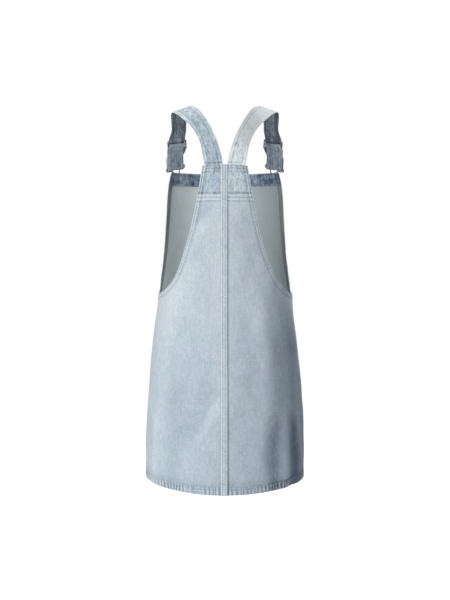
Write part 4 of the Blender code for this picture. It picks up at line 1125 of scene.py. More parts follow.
facing = cloth_shell("bib_facing_cloth", tube(angle, height, -CLOTH - FACING_GAP * 0.5),
                     tube(angle, height, -2 * CLOTH - FACING_GAP - inner),
                     flat_chart(angle, height) + FACING_CUT_AT, pale, deep, [FACING_CLOTH], flip=True)
finish_cloth(facing, "bib_facing")

# === Straps =======================================================================================
# Two doubled bands of denim, 40 mm wide, stitched twice along both edges. Each is sewn inside the
# yoke, goes over the shoulder, through the slider, round the clasp's bar and back to the slider.
GAP = 0.0003
STRAP_WIDTH = 0.040
STRAP_THICK = 0.0022
STRAP_TAIL = 0.016        # how far a strap reaches down inside the yoke
TAIL_FREE = 0.004         # it follows the yoke's curve until this far above the yoke's top
TAIL_X = 0.0246           # the tail's middle at the yoke's top, from the dress's middle
TAIL_SPREAD = 0.09        # the tail's middle moves out this much for each metre up
STRAP_STEP = 0.0018
STRAP_OVER = 0.31         # its length from the tail to the slider, for an even spacing of its rows
STRAP_COLUMN = 0.0013
STRAP_STITCHES = (0.0022, 0.0082)         # rows of stitches, from each edge
STRAP_BORDER = (0.0085, 0.0110)           # its puckered border ends between these, from each edge
STRAP_PUCKER = 0.0060
STRAP_PUCKER_HEIGHT = 0.00015
STRAP_STITCH_DEPTH = 0.00026
STRAP_UNEVEN = 0.00018    # height of its slow waves
STRAP_ROUND = 0.00105     # radius of its edges
STRAP_SEEDS = {1: 61, -1: 67}
# Middle of the strap from the yoke over the shoulder to just above the slider. turn is how far the
# strap's outer edge swings to the back, slope how far it tips down, in degrees.
StrapPoint = namedtuple("StrapPoint", "x y z turn slope")
STRAP_PATH = [
    StrapPoint(0.0264, -0.0994, -0.1200, -11, 6),
    StrapPoint(0.0319, -0.0948, -0.0970, -24, 21),
    StrapPoint(0.0390, -0.0868, -0.0755, -35, 31),
    StrapPoint(0.0495, -0.0752, -0.0530, -40, 39),
    StrapPoint(0.0632, -0.0578, -0.0312, -36, 41),
    StrapPoint(0.0812, -0.0340, -0.0120, -8, 28),
    StrapPoint(0.0980, 0.0000, -0.0004, 2, 20),
    StrapPoint(0.1030, 0.0225, -0.0066, 18, 15),
    StrapPoint(0.1048, 0.0375, -0.0232, 34, 11),
    StrapPoint(0.1054, 0.0450, -0.0400, 36, 9),
]
SLIDER_CENTRE = Vector((0.1103, 0.0555, -0.0718))
BUCKLE_TURN = 24          # degrees, as for the strap
BUCKLE_LEAN = 15          # degrees, how much its lower end stands forward
BUCKLE_SLOPE = 9
SLIDER_HEIGHT = 0.0232
SLIDER_BAR = 0.0024       # diameter of its three bars
FOLD_DROP = 0.0526        # from the slider's middle bar to the strap's lower fold
FOLD_SHIFT = 0.0076       # the fold lies this much further out than the slider
DRIFT_FROM, DRIFT_TO = 0.010, 0.030       # its outer layer drifts out between these depths below the slider
RETURN_FROM, RETURN_TO = -0.001, 0.009    # and its returning layer between these
LAYERS_MEET = 0.035       # from the slider down to where its two layers run parallel
END_WRAP = 205            # degrees, how far its sewn end goes round the middle bar
ABOVE_SLIDER = 0.0145     # the strap's flat path starts this far above the slider's middle
WIRE = 0.0028             # the clasp's wire
BEND = 10                 # degrees, between points where a strap turns round a bar
BACK_END = (0.09, 0.21)   # the left strap keeps its indigo at the back, and less between these distances
LEFT_KEPT = 0.8
SHOULDER = (0.195, 0.235) # the right strap is paler at the back, partly its own wash and partly painted light, until between these distances
LIGHTENED_AT = (0.016, 0.085, 0.195)           # by so much at these distances along it
RIGHT_STRAP_LIGHTENED = (0.55, 1.55, 1.8)
RIGHT_FRONT_SHADE = 0.3    # painted shade: past the shoulder it is darker than the left one
RIGHT_INSIDE_SHADE = 0.7   # and so is its inner side
RETURN_SHADE = 1.15        # painted shade on the layer that returns from the clasp, on both straps
BORDER_KEPT = 0.9         # and the inner side's border
TAIL_LINE = 0.0235        # a pale line crosses each strap this far from its lower end

STRAP_LOOK = {"Level": 0.64, "Patches": 0.38, "Marbling": 0.80, "Streaks": 0.42, "Flecks": 0.26,
              "Veins": 0.10, "Lightened By": 0.24, "Darkened By": 0.26}
STRAP_CLOTH = denim("washed strap denim", STRAP_LOOK,
                    ((0.085, 0.115, 0.160), (0.365, 0.432, 0.490), (0.85, 0.885, 0.89)), 0.88, 0.5, 0.10)
# a darker inner side: partly less washed indigo, partly painted shade for the shade it hangs in at the front
STRAP_INSIDE = denim("strap inner side", {**STRAP_LOOK, "Level": 0.44, "Marbling": 1.0, "Streaks": 0.7},
                     ((0.050, 0.065, 0.095), (0.27, 0.31, 0.36), (0.62, 0.67, 0.70)), 0.9, 0.5, 0.08)


def width_direction(turn, slope):
    """Across a strap, from the neck to the shoulder's outer side."""
    turn, slope = math.radians(turn), math.radians(slope)
    return Vector((math.cos(turn) * math.cos(slope), -math.sin(turn) * math.cos(slope), -math.sin(slope)))


def buckle_axes():
    """The buckle plane's axes: outward along its bars, up along the strap, and out from the chest."""
    outward = width_direction(BUCKLE_TURN, BUCKLE_SLOPE)
    up = Vector((0, -math.sin(math.radians(BUCKLE_LEAN)), math.cos(math.radians(BUCKLE_LEAN))))
    up = (up - outward * up.dot(outward)).normalized()
    return outward, up, up.cross(outward)


def buckle_point(height, out, aside):
    """A point of the buckle's plane, measured from the slider's middle."""
    across, up, front = buckle_axes()
    return SLIDER_CENTRE + across * aside + up * height + front * out


def belt(stops):
    """A line of straight pieces and arcs that passes round circles.

    Each stop is (height, out, radius, side): the line runs down and passes on the circle's outer side (1)
    or inner side (-1). A radius of 0 is a plain point.
    """
    centres = [Vector(stop[:2]) for stop in stops]
    reach = [stop[2] * stop[3] for stop in stops]
    normals = []
    for (a, b), (r, q) in zip(zip(centres, centres[1:]), zip(reach, reach[1:])):
        gap = b - a
        turn = math.acos((r - q) / gap.length)
        choices = [Matrix.Rotation(way * turn, 2) @ gap.normalized() for way in (1, -1)]
        normals.append(max(choices, key=lambda normal: normal.y))
    points = []
    for index, (centre, r) in enumerate(zip(centres, reach)):
        first = normals[max(index - 1, 0)]
        last = normals[min(index, len(normals) - 1)]
        if r == 0:
            points.append(centre)
            continue
        sweep = last.angle_signed(first)
        count = max(1, math.ceil(abs(sweep) / math.radians(BEND)))
        for k in range(count + 1):
            points.append(centre + r * (Matrix.Rotation(sweep * k / count, 2) @ first))
    return points


def strap_tail(height):
    """The middle of a strap's tail, inside the yoke, as a row of the strap's path."""
    x = TAIL_X + TAIL_SPREAD * (height - YOKE_TOP)
    point = tube(angle_at(x, height), np.array(height), -CLOTH - GAP - STRAP_THICK / 2)
    return StrapPoint(*point, STRAP_PATH[0].turn, 0)


def fold_shift(height, start, end):
    """How far out the strap has drifted at a height below the slider."""
    return FOLD_SHIFT * float(smooth(-height, start, end))


def filled(points, spacing):
    """A line of points with more of them along its long straight pieces."""
    out = [points[0]]
    for a, b in zip(points, points[1:]):
        count = max(1, math.ceil((b - a).length / spacing))
        out += [a.lerp(b, k / count) for k in range(1, count + 1)]
    return out


def strap_stations():
    """Points along the middle of the right strap, each with the direction across it.

    Gives as well how many of them come before the fold round the clasp's bar.
    """
    rise = (SLIDER_HEIGHT - SLIDER_BAR) / 2
    round_bar = SLIDER_BAR / 2 + GAP + STRAP_THICK / 2
    round_loop = round_bar + GAP + STRAP_THICK
    round_wire = WIRE / 2 + 1.5 * GAP + STRAP_THICK / 2
    across = buckle_axes()[0]
    fold = -FOLD_DROP
    running = belt([(ABOVE_SLIDER, -STRAP_THICK / 2, 0, 1), (rise, 0, round_bar, -1), (0, 0, round_loop, 1),
                    (-rise, 0, round_bar, -1), (-LAYERS_MEET, round_wire, 0, 1), (fold, 0, round_wire, 1)])
    returning = belt([(0, 0, round_bar, -1), (-rise, 0, round_loop, -1), (-LAYERS_MEET, -round_wire, 0, 1),
                      (fold, 0, round_wire, -1)])
    turns = [Vector((fold - round_wire * math.sin(a), round_wire * math.cos(a)))
             for a in np.radians(range(15, 180, 15))]
    start = math.atan2(returning[0][0], -returning[0][1])
    sewn = [Vector((math.sin(a), -math.cos(a))) * round_bar
            for a in spread(start, math.radians(END_WRAP), math.radians(BEND))[1:]]
    running = filled(running, STRAP_STEP)
    line = running + turns + filled(list(reversed(returning)), STRAP_STEP) + sewn

    top = buckle_point(line[0][0], line[0][1], 0.0)
    path = [strap_tail(height) for height in (YOKE_TOP - STRAP_TAIL, YOKE_TOP - STRAP_TAIL / 2, YOKE_TOP)]
    path += STRAP_PATH + [StrapPoint(*top, BUCKLE_TURN, BUCKLE_SLOPE)]
    over = curve_through(path, int(STRAP_OVER / STRAP_STEP))
    stations = [(Vector(row[:3]), width_direction(row[3], row[4])) for row in over]
    before_fold = len(stations) + len(running) - 1
    # the two layers below the slider drift out by different ways, so that they part a little
    for index, (height, out) in enumerate(line[1:]):
        drift = (DRIFT_FROM, DRIFT_TO) if index < len(running) else (RETURN_FROM, RETURN_TO)
        stations.append((buckle_point(height, out, fold_shift(height, *drift)), across))
    return stations, before_fold


def strap_frame():
    """Arrays for the right strap: its middle line, across it, inward through it, and distance along it."""
    stations, before_fold = strap_stations()
    centre = np.array([point for point, across in stations])
    across = np.array([across for point, across in stations])
    ahead = np.vstack((centre[1:], centre[-1:])) - np.vstack((centre[:1], centre[:-1]))
    inward = np.cross(ahead, across)
    inward /= np.linalg.norm(inward, axis=1)[:, None]
    along = np.concatenate(([0], np.cumsum(np.linalg.norm(np.diff(centre, axis=0), axis=1))))
    return centre, across, inward, along, before_fold


STRAP = strap_frame()


def strap_point(centre, across, inward, beside, depth):
    """Points of the strap at a distance beside its middle line and a depth from its middle layer."""
    point = centre + across * beside
    free = point + inward * depth
    angle = angle_at(point[..., 0], centre[..., 2])
    held = tube(angle, centre[..., 2], -CLOTH - GAP - STRAP_THICK / 2 - depth[..., 0])
    loose = smooth(centre[..., 2], YOKE_TOP + TAIL_FREE * 0.6, YOKE_TOP + TAIL_FREE * 1.4)[..., None]
    return held * (1 - loose) + free * loose


def strap_relief(beside, along, seed):
    """Relief and wash of a strap's face."""
    from_edge = STRAP_WIDTH / 2 - np.abs(beside)
    wave = puckers(along + 0.25 * beside, STRAP_PUCKER, seed) * (1 - smooth(from_edge, *STRAP_BORDER))
    rise = wave * smooth(from_edge, 0, 0.001) * STRAP_PUCKER_HEIGHT
    rise -= groove(from_edge, STRAP_STITCHES) * STRAP_STITCH_DEPTH + edge_roll(from_edge, STRAP_ROUND)
    rise += STRAP_UNEVEN * np.sin(along * 210 + beside * 60 + seed) * np.cos(beside * 90)
    pale = np.exp(-from_edge / 0.0012) * 0.8 + np.clip(wave, 0, 1) * 0.3 + 0.45 * (from_edge < 0.0078)
    pale = pale + stripe(along, TAIL_LINE, 0.0009)
    # darker in the rows' grooves and the puckers' hollows, partly kept indigo and partly painted shade
    deep = groove(from_edge, STRAP_STITCHES, ROW_SHADE) * 0.8 + np.clip(-wave, 0, 1) * 0.3
    deep = deep + 0.25 * stripe(from_edge, 0.0105, 0.0014) + 0.7 * stripe(along, TAIL_LINE - 0.0024, 0.0016)
    return rise, pale, deep


def mirrored(points, side):
    """Rows of coordinates on the right (1) or mirrored to the left (-1)."""
    return points * (side, 1, 1)


def strap_faces(beside, side, seed):
    """The strap's outer and inner face at distances beside its middle line, with its wash."""
    centre, across, inward, along, before_fold = STRAP
    beside = np.asarray(beside)[None, :, None]
    centre, across, inward = centre[:, None], across[:, None], inward[:, None]
    rise, pale, deep = strap_relief(beside[..., 0], along[:, None], seed)
    end = np.minimum(along, along[-1] - along)[:, None]
    rise = (rise - edge_roll(end, STRAP_ROUND))[..., None]
    near = strap_point(centre, across, inward, beside, -STRAP_THICK / 2 - rise)
    far = strap_point(centre, across, inward, beside, STRAP_THICK / 2 + rise)
    # painted shade on the layer that returns from the clasp: less pale and darker
    returned = smooth(np.arange(len(along)), before_fold - 3, before_fold + 6)[:, None]
    pale = pale * (1 - 0.3 * returned)
    deep = deep + RETURN_SHADE * returned
    if side < 0:
        deep = deep + LEFT_KEPT * (1 - smooth(along, *BACK_END))[:, None]
    else:
        # the right strap: paler at the back, partly painted light, and in painted shade past the shoulder
        at_back = 1 - smooth(along, *SHOULDER)[:, None]
        pale = pale + np.interp(along, LIGHTENED_AT, RIGHT_STRAP_LIGHTENED)[:, None] * at_back
        deep = deep + RIGHT_FRONT_SHADE * (1 - at_back)
    return mirrored(near, side), mirrored(far, side), pale, deep


for side, seed in STRAP_SEEDS.items():
    name = "strap_" + SIDE_NAMES[side]
    beside = (graded(STRAP_WIDTH, STRAP_COLUMN) - 0.5) * STRAP_WIDTH
    near, far, pale, deep = strap_faces(beside, side, seed)
    chart = np.stack(np.broadcast_arrays(beside[None, :], STRAP[3][:, None]), -1) + (2.0 + side, 0.0)
    from_edge = (STRAP_WIDTH / 2 - np.abs(beside))[None, :]
    inner_deep = deep + BORDER_KEPT * (1 - smooth(from_edge, 0.0080, 0.0110))
    # painted shade on the right strap's inner side
    if side > 0:
        inner_deep += RIGHT_INSIDE_SHADE
    strap = cloth_shell(name + "_cloth", near, far, chart, pale, deep, [STRAP_CLOTH, STRAP_INSIDE],
                        flip=side > 0, inner_wash_and_shade=(pale * 0.4, inner_deep))
    finish_cloth(strap, name)

# === Sliders ======================================================================================
# A three-bar slider of dull nickel-plated zinc on each strap: two flat rails and three round bars,
# cast in one. The strap passes over its outer bars and under the middle one, where its end is sewn.
SLIDER_INSIDE = 0.0408    # between its side rails
SLIDER_RAIL = 0.0032      # how wide its side rails are
SLIDER_CORNER = 0.0028    # radius of the bend at its corners
MIDDLE_BAR = SLIDER_BAR * 0.98            # a hair thinner, so that its faces lie inside the rails'
CORNER_STEPS = 10
SHARP_EDGE = 50           # degrees between faces, from which their edge is sharp
WIRE_SIDES = 18


def dull_metal(name, colour, roughness):
    """Old-looking plating: darker in its cloudy patches, with fine tumbled scratches."""
    made, tree, shader = new_material(name, {"Metallic": 1.0})
    place = add_node(tree, "ShaderNodeTexCoord").outputs["Object"]
    cloudy, fine = noise(tree, place, 420.0, 3.0), noise(tree, place, 4200.0, 2.0)
    dark = (*[value * 0.45 for value in colour], 1)
    rough = maths(tree, "MULTIPLY_ADD", cloudy, 0.26, roughness - 0.12)
    raised = add_node(tree, "ShaderNodeBump", {"Strength": 0.25, "Distance": 0.00006, "Height": fine})
    tree.links.new(blend(tree, cloudy, dark, (*colour, 1)), shader.inputs["Base Color"])
    tree.links.new(rough, shader.inputs["Roughness"])
    tree.links.new(raised.outputs[0], shader.inputs["Normal"])
    return made


# dark for nickel: partly its own dull plating, partly painted shade for the shade the buckles hang in
NICKEL = dull_metal("dull nickel", (0.20, 0.19, 0.17), 0.42)


def rounded(corners):
    """A closed outline through corners, each (across, up, radius), with arcs for its corners."""
    outline = []
    for index, (x, y, radius) in enumerate(corners):
        here = Vector((x, y))
        before = Vector(corners[index - 1][:2]) - here
        after = Vector(corners[(index + 1) % len(corners)][:2]) - here
        half = before.angle(after) / 2
        back = radius / math.tan(half)
        start, end = here + before.normalized() * back, here + after.normalized() * back
        centre = here + (before.normalized() + after.normalized()).normalized() * radius / math.sin(half)
        sweep = (start - centre).angle_signed(end - centre)
        for k in range(CORNER_STEPS + 1):
            outline.append(centre + Matrix.Rotation(-sweep * k / CORNER_STEPS, 2) @ (start - centre))
    return outline


def loft(name, rings, look, closed=False):
    """A closed solid through rings of points, with flat ends or joined end to end."""
    shape = bmesh.new()
    loops = [[shape.verts.new(point) for point in ring] for ring in rings]
    following = loops[1:] + loops[:1] if closed else loops[1:]
    for one, other in zip(loops, following):
        for k in range(len(one)):
            m = (k + 1) % len(one)
            shape.faces.new((one[k], one[m], other[m], other[k]))
    if not closed:
        shape.faces.new(loops[0])
        shape.faces.new(loops[-1])
    bmesh.ops.recalc_face_normals(shape, faces=shape.faces)
    mesh = bpy.data.meshes.new(name)
    shape.to_mesh(mesh)
    shape.free()
    mesh.materials.append(look)
    mesh.shade_smooth()
    mesh.set_sharp_from_angle(angle=math.radians(SHARP_EDGE))
    thing = bpy.data.objects.new(name, mesh)
    scene.collection.objects.link(thing)
    return thing


def bent_wire(outline, place, radius, thick, front):
    """Rings round a closed outline in a buckle's plane. radius(point) is the wire's size in that plane."""
    rings = []
    for index, point in enumerate(outline):
        along = (outline[(index + 1) % len(outline)] - outline[index - 1]).normalized()
        beside = Vector((along.y, -along.x))
        ring = []
        for k in range(WIRE_SIDES):
            a = 2 * math.pi * (k + 0.5) / WIRE_SIDES
            ring.append(place(point + beside * radius(point) * math.cos(a)) + front * thick * math.sin(a))
        rings.append(ring)
    return rings


def ring_round(centre, one, other, size, sides):
    """A circle of points, given two directions across its middle and its diameter."""
    return [centre + (one * math.cos(a) + other * math.sin(a)) * size / 2
            for a in (2 * math.pi * k / sides for k in range(sides))]


def flipped(points, side):
    """The same for a list of single points."""
    return [Vector((side * point.x, point.y, point.z)) for point in points]


def slider(side, name):
    """The frame of two rails and two bars, and the third bar through its middle."""
    across, up, front = buckle_axes()
    half_width = (SLIDER_INSIDE + SLIDER_RAIL) / 2
    half_height = (SLIDER_HEIGHT - SLIDER_BAR) / 2
    corners = [(x, y, SLIDER_CORNER) for x, y in ((half_width, half_height), (half_width, -half_height),
                                                  (-half_width, -half_height), (-half_width, half_height))]

    def radius(point):
        on_rail = smooth(abs(point.x), half_width - SLIDER_CORNER, half_width)
        return (SLIDER_BAR + (SLIDER_RAIL - SLIDER_BAR) * float(on_rail)) / 2

    rings = bent_wire(rounded(corners), lambda point: buckle_point(point.y, 0.0, point.x), radius,
                      SLIDER_BAR / 2, front)
    made = loft(name, [flipped(ring, side) for ring in rings], NICKEL, closed=True)
    bar = [ring_round(buckle_point(0.0, 0.0, reach), up, front, MIDDLE_BAR, WIRE_SIDES)
           for reach in (-half_width, half_width)]
    middle = loft(name + "_bar", [flipped(ring, side) for ring in bar], NICKEL)
    join = made.modifiers.new("middle bar", "BOOLEAN")
    join.operation = "UNION"
    join.object = middle
    whole = bpy.data.meshes.new_from_object(made.evaluated_get(bpy.context.evaluated_depsgraph_get()))
    made.modifiers.clear()
    made.data = whole
    bpy.data.objects.remove(middle)
    return made


def finish_metal(thing, node):
    """Hangs a metal piece under the root and hides the solid it replaces."""
    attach(thing, "root")
    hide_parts(node)


for side, hand in SIDE_NAMES.items():
    finish_metal(slider(side, "slider_" + hand + "_metal"), "slider_" + hand)

# === Clasps =======================================================================================
# A clasp of bent steel wire hangs in each strap's fold: a straight bar, two shoulders and a keyhole
# that hooks round the button's shank.
CLASP_TILT = 9            # degrees, inner end of its bar up
CLASP_WIDTH = 0.0452      # between the middles of its two sides
CLASP_SIDE = 0.0062       # from the bar down to its shoulders
CLASP_WAIST = (0.0092, 0.0074)            # where the shoulders turn down: from the middle, and from the bar
CLASP_NECK = 0.0220       # from the bar down to where the shoulders meet the keyhole
CLASP_SHANK_DROP = 0.0368 # from the bar to the button's shank
CLASP_BENDS = (0.0018, 0.0022, 0.0030, 0.0080)    # radius of its bends, from the bar down to the neck
KEYHOLE_RADIUS = 0.0046
KEYHOLE_BEND = 0.0045     # radius of the bends at its foot, just under its own


def clasp_axes():
    """The clasp's bar's middle, its direction along the bar and its direction down to the keyhole."""
    across, up, front = buckle_axes()
    tilt = math.radians(CLASP_TILT)
    lift = math.sin(tilt) * (CLASP_WIDTH - WIRE) / 2
    middle = buckle_point(-FOLD_DROP + lift, 0.0, FOLD_SHIFT)
    along = across * math.cos(tilt) - up * math.sin(tilt)
    down = -up * math.cos(tilt) - across * math.sin(tilt)
    return middle, along, down, front


def clasp(side, name):
    """The closed loop of wire."""
    middle, along, down, front = clasp_axes()
    half, slot = CLASP_WIDTH / 2, KEYHOLE_RADIUS
    at_bar, at_shoulder, at_waist, at_neck = CLASP_BENDS
    right = [(half, 0.0, at_bar), (half, CLASP_SIDE, at_shoulder), (*CLASP_WAIST, at_waist),
             (slot, CLASP_NECK, at_neck), (slot, CLASP_SHANK_DROP + slot, KEYHOLE_BEND)]
    corners = right + [(-x, y, bend) for x, y, bend in reversed(right)]
    rings = bent_wire(rounded(corners), lambda point: middle + along * point.x + down * point.y,
                      lambda point: WIRE / 2, WIRE / 2, front)
    return loft(name, [flipped(ring, side) for ring in rings], NICKEL, closed=True)


for side, hand in SIDE_NAMES.items():
    finish_metal(clasp(side, "clasp_" + hand + "_metal"), "clasp_" + hand)

# === Buttons ======================================================================================
# A plain domed shank button of the same dull metal is riveted through the bib at each side: a foot
# against the cloth, a shank, and a head with a rolled rim round a shallow ring.
BUTTON_HEAD = 0.0155      # diameters of the button's head, shank and foot
BUTTON_SHANK = 0.0056
BUTTON_FOOT = 0.0080
BUTTON_FOOT_HIGH = 0.0008
BUTTON_REACH = 0.0036     # from the clasp's plane back to the button's foot
BUTTON_SIDES = 48
ButtonRing = namedtuple("ButtonRing", "share up")         # share of the head's radius, height over its foot
BUTTON_DOME = [ButtonRing(0.90, 0.0), ButtonRing(0.97, 0.0002), ButtonRing(1.0, 0.0006),
               ButtonRing(0.99, 0.0011), ButtonRing(0.94, 0.0015), ButtonRing(0.87, 0.0016),
               ButtonRing(0.81, 0.0014), ButtonRing(0.77, 0.0013), ButtonRing(0.72, 0.0016),
               ButtonRing(0.60, 0.0022), ButtonRing(0.44, 0.0026), ButtonRing(0.26, 0.0029),
               ButtonRing(0.09, 0.0030)]


def button(side, name):
    """Foot, shank and head, turned about the shank."""
    middle, along, down, front = clasp_axes()
    shank = middle + down * CLASP_SHANK_DROP
    under = WIRE / 2 + GAP
    profile = [(size, share * BUTTON_FOOT_HIGH - BUTTON_REACH)
               for size, share in ((BUTTON_FOOT * 0.9, 0.0), (BUTTON_FOOT, 0.3), (BUTTON_FOOT, 0.7),
                                   (BUTTON_FOOT * 0.88, 1.0), (BUTTON_SHANK, 1.0))]
    profile.append((BUTTON_SHANK, under))
    profile += [(BUTTON_HEAD * ring.share, under + ring.up) for ring in BUTTON_DOME]
    rings = [ring_round(shank + front * out, along, down, size, BUTTON_SIDES) for size, out in profile]
    return loft(name, [flipped(ring, side) for ring in rings], NICKEL)


for side, hand in SIDE_NAMES.items():
    finish_metal(button(side, "button_" + hand + "_metal"), "button_" + hand)

# === Thread =======================================================================================
# Every seam and hem is sewn with the same pale grey-blue cotton thread, in stitches of 3.3 mm that sink
# into the cloth between one hole and the next. They lie on both faces of what they hold.
STITCH_PITCH = 0.0033     # from hole to hole
STITCH_LENGTH = 0.0029
THREAD = 0.00050          # thickness
THREAD_LIFT = 0.00012     # the thread's middle above the groove
ROW_STEP = 0.0015
ROW_CHART = 0.12          # as CHART, for the spacing of points along a row round the dress
ROW_FROM_EDGE = 0.0006    # an armhole's rows start this far from its top
MIDDLE_GAP = 0.006 / SEAM_CHART           # rows beside the yoke seam start this angle from the middle
ROW_SHORT = 0.004         # and end this angle before the armhole


def cotton():
    """Matt twisted thread, a little paler or darker from stitch to stitch."""
    made, tree, shader = new_material("cotton thread", {"Roughness": 0.8, "Sheen Weight": 0.2})
    tone = add_node(tree, "ShaderNodeAttribute", attribute_name="tone").outputs["Fac"]
    fuzz = noise(tree, add_node(tree, "ShaderNodeTexCoord").outputs["Object"], 3000.0, 2.0)
    share = maths(tree, "MULTIPLY_ADD", tone, 0.6, maths(tree, "MULTIPLY", fuzz, 0.5))
    raised = add_node(tree, "ShaderNodeBump", {"Strength": 0.5, "Distance": 0.0001, "Height": fuzz})
    tree.links.new(blend(tree, share, (0.28, 0.31, 0.31, 1), (0.58, 0.60, 0.57, 1)),
                   shader.inputs["Base Color"])
    tree.links.new(raised.outputs[0], shader.inputs["Normal"])
    return made


def stitch_tree():
    """Sews a stitch at every pitch along the lines of a mesh, turned along the line and to its out."""
    tree = bpy.data.node_groups.new("stitches", "GeometryNodeTree")
    for title, kind, value in (("Lines", "Geometry", None), ("Pitch", "Float", STITCH_PITCH),
                               ("Length", "Float", STITCH_LENGTH), ("Thickness", "Float", THREAD),
                               ("Unevenness", "Float", 0.07), ("Seed", "Int", 4),
                               ("Thread", "Material", None)):
        made = tree.interface.new_socket(title, in_out="INPUT", socket_type="NodeSocket" + kind)
        if value is not None:
            made.default_value = value
    tree.interface.new_socket("Stitches", in_out="OUTPUT", socket_type="NodeSocketGeometry")
    given = add_node(tree, "NodeGroupInput").outputs

    def step(kind, inputs=None, **settings):
        """The first output of a new geometry node."""
        return add_node(tree, "GeometryNode" + kind, inputs, **settings).outputs[0]

    curve = step("MeshToCurve", {"Mesh": given["Lines"]})
    evenly = step("ResampleCurve", {"Curve": curve, "Length": given["Pitch"]}, mode="LENGTH")
    along = add_node(tree, "FunctionNodeAlignRotationToVector", {"Vector": step("InputTangent")},
                     axis="X").outputs[0]
    out = step("InputNamedAttribute", {"Name": "out"}, data_type="FLOAT_VECTOR")
    turned = add_node(tree, "FunctionNodeAlignRotationToVector", {"Rotation": along, "Vector": out},
                      axis="Z", pivot_axis="X").outputs[0]
    ball = step("MeshUVSphere", {"Segments": 6, "Rings": 5, "Radius": 0.5})
    size = add_node(tree, "ShaderNodeCombineXYZ", {"X": given["Thickness"], "Y": given["Thickness"],
                                                   "Z": given["Length"]}).outputs[0]
    long = step("Transform", {"Geometry": ball, "Scale": size})
    flat = step("Transform", {"Geometry": long, "Rotation": (0, math.pi / 2, 0)})
    sewn = step("InstanceOnPoints", {"Points": evenly, "Instance": flat, "Rotation": turned})
    less = maths(tree, "MULTIPLY", given["Unevenness"], -1.0)
    skew = add_node(tree, "FunctionNodeRandomValue",
                    {2: less, 3: given["Unevenness"], "Seed": given["Seed"]}).outputs[1]
    spin = add_node(tree, "ShaderNodeCombineXYZ", {"Z": skew}).outputs[0]
    askew = step("RotateInstances", {"Instances": sewn, "Rotation": spin})
    random = add_node(tree, "FunctionNodeRandomValue",
                      {"Seed": maths(tree, "ADD", given["Seed"], 9.0)}).outputs[1]
    toned = step("StoreNamedAttribute", {"Geometry": askew, "Name": "tone", "Value": random},
                 domain="INSTANCE")
    real = step("RealizeInstances", {"Geometry": toned})
    soft = step("SetShadeSmooth", {"Geometry": real})
    add_node(tree, "NodeGroupOutput", {"Stitches": step("SetMaterial", {"Geometry": soft,
                                                                        "Material": given["Thread"]})})
    return tree


def row_on_tube(angle, height, outer, inner, inside):
    """A row of stitches on a panel's outer or inner face: points, and the way out of the cloth."""
    half_width, front, back = section_at(height)
    depth = np.where(np.cos(angle) > 0, back, front)
    normal = np.stack((np.sin(angle) / half_width, -np.cos(angle) / depth, np.zeros_like(angle)), -1)
    normal /= np.linalg.norm(normal, axis=1)[:, None]
    if inside:
        return tube(angle, height, -CLOTH - inner - THREAD_LIFT), -normal
    return tube(angle, height, outer + THREAD_LIFT), normal


def armhole_rows(edge, way, face, seeds, start=ROW_FROM_EDGE, insides=(False, True)):
    """Rows along an armhole's edge on the right and the left. insides tells on which faces they lie."""
    made = []
    for amount in ARMHOLE_STITCHES:
        places = edge.beside(spread(start, edge.length - 0.001, ROW_STEP), amount, way)
        for side, seed in seeds.items():
            angle, height = places[:, 0] * side, places[:, 1]
            relief = face(angle, height, seed)
            made += [row_on_tube(angle, height, relief[0], relief[1], inside) for inside in insides]
    return made


def level_rows(start, end, height_at, face, seed, insides=(False, True)):
    """Rows round the dress between two angles, at the heights that a function gives."""
    angle = spread(start, end, ROW_STEP / ROW_CHART)
    height = height_at(angle)
    relief = face(angle, height, seed)
    return [row_on_tube(angle, height, relief[0], relief[1], inside) for inside in insides]


def sew(name, rows):
    """All stitches along some rows as one mesh."""
    mesh = bpy.data.meshes.new(name)
    points = np.vstack([row[0] for row in rows])
    starts = np.cumsum([0] + [len(row[0]) for row in rows])
    edges = np.concatenate([np.stack((np.arange(a, b - 1), np.arange(a + 1, b)), -1)
                            for a, b in zip(starts, starts[1:])])
    mesh.from_pydata(points.tolist(), edges.tolist(), [])
    out = mesh.attributes.new("out", "FLOAT_VECTOR", "POINT")
    out.data.foreach_set("vector", np.vstack([row[1] for row in rows]).ravel())
    lines = bpy.data.objects.new(name, mesh)
    scene.collection.objects.link(lines)
    sewing = lines.modifiers.new("stitches", "NODES")
    sewing.node_group = STITCHES
    for item in STITCHES.interface.items_tree:
        if item.in_out == "INPUT" and item.name == "Thread":
            sewing[item.identifier] = COTTON
    graph = bpy.context.evaluated_depsgraph_get()
    stitched = bpy.data.meshes.new_from_object(lines.evaluated_get(graph))
    lines.modifiers.clear()
    lines.data = stitched
    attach(lines, "root")
    return lines


COTTON = cotton()
STITCHES = stitch_tree()
seam_reach = back_edge.points[0, 0] - ROW_SHORT
top_reach = yoke_edge.points[0, 0] - ROW_SHORT

rows = armhole_rows(back_edge, -1, back_face, BACK_SEEDS)
for side, seed in BACK_SEEDS.items():
    rows += level_rows(side * MIDDLE_GAP, side * seam_reach,
                       lambda angle: YOKE_SEAM - SEAM_STITCHES + 0 * angle, back_face, seed)
    rows += level_rows(side * ROW_SHORT, side * np.pi / 2,
                       lambda angle: hem_height(angle) + HEM_STITCHES, back_face, seed)
sew("back_stitches", rows)

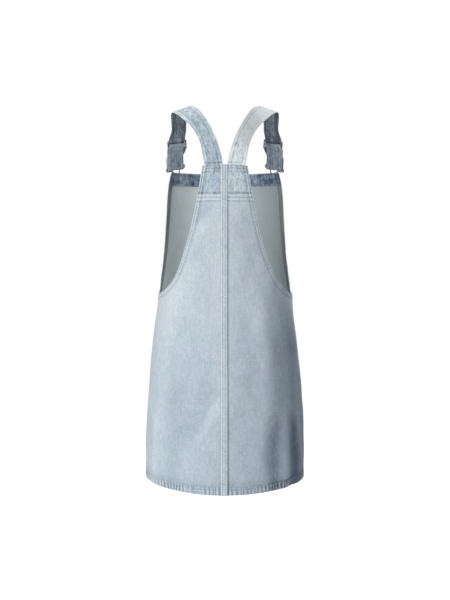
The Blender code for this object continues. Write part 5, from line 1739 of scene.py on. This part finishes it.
rows = armhole_rows(yoke_edge, -1, yoke_face, YOKE_SEEDS)
rows = [(points[points[:, 2] > YOKE_SEAM], out[points[:, 2] > YOKE_SEAM]) for points, out in rows]
for side, seed in YOKE_SEEDS.items():
    rows += level_rows(side * MIDDLE_GAP, side * seam_reach,
                       lambda angle: YOKE_SEAM + SEAM_STITCHES + 0 * angle, yoke_face, seed)
    for drop in YOKE_TOP_STITCHES:
        rows += level_rows(side * MIDDLE_GAP, side * top_reach,
                           lambda angle: yoke_top(angle) - drop, yoke_face, seed, (False,))
for x in LAP_STITCHES:
    height = spread(YOKE_TOP - 0.001, hem_height(0.0) + 0.001, ROW_STEP)
    angle = angle_at(x, height)
    rows.append(row_on_tube(angle, height, lap_face(x + 0 * height, height)[0], 0.0, False))
    rows.append(row_on_tube(angle, height, 0.0, 0.0, True))
sew("yoke_and_seam_stitches", rows)

# inside, the armhole's rows start below the facing, and the facing's own rows lie on it
FRONT_SEEDS = {1: FRONT_SEED, -1: FRONT_SEED}
below = front_edge.distance_to(BIB_TOP - FACING_DEPTH)
rows = armhole_rows(front_edge, 1, front_face, FRONT_SEEDS, insides=(False,))
rows += armhole_rows(front_edge, 1, front_face, FRONT_SEEDS, below, insides=(True,))
for side, seed in FRONT_SEEDS.items():
    rows += level_rows(side * np.pi / 2, side * np.pi, lambda angle: hem_height(angle) + HEM_STITCHES,
                       front_face, seed)
    for drop in FACING_STITCHES:
        end = front_edge.at(front_edge.distance_to(BIB_TOP - drop))[0] + ROW_SHORT
        rows += level_rows(side * end, side * np.pi, lambda angle: BIB_TOP - drop + 0 * angle,
                           front_face, seed, (False,))
        angle = spread(side * end, side * np.pi, ROW_STEP / ROW_CHART)
        rows.append(row_on_tube(angle, BIB_TOP - drop + 0 * angle, 0.0, CLOTH + FACING_GAP, True))
sew("front_stitches", rows)

for side, seed in STRAP_SEEDS.items():
    lanes = [way * (STRAP_WIDTH / 2 - row) for way in (-1, 1) for row in STRAP_STITCHES]
    near, far, pale, deep = strap_faces(lanes, side, seed)
    inward = mirrored(STRAP[2], side)
    rows = []
    for lane in range(len(lanes)):
        rows.append((near[:, lane] - inward * THREAD_LIFT, -inward))
        rows.append((far[:, lane] + inward * THREAD_LIFT, inward))
    sew("strap_" + SIDE_NAMES[side] + "_stitches", rows)
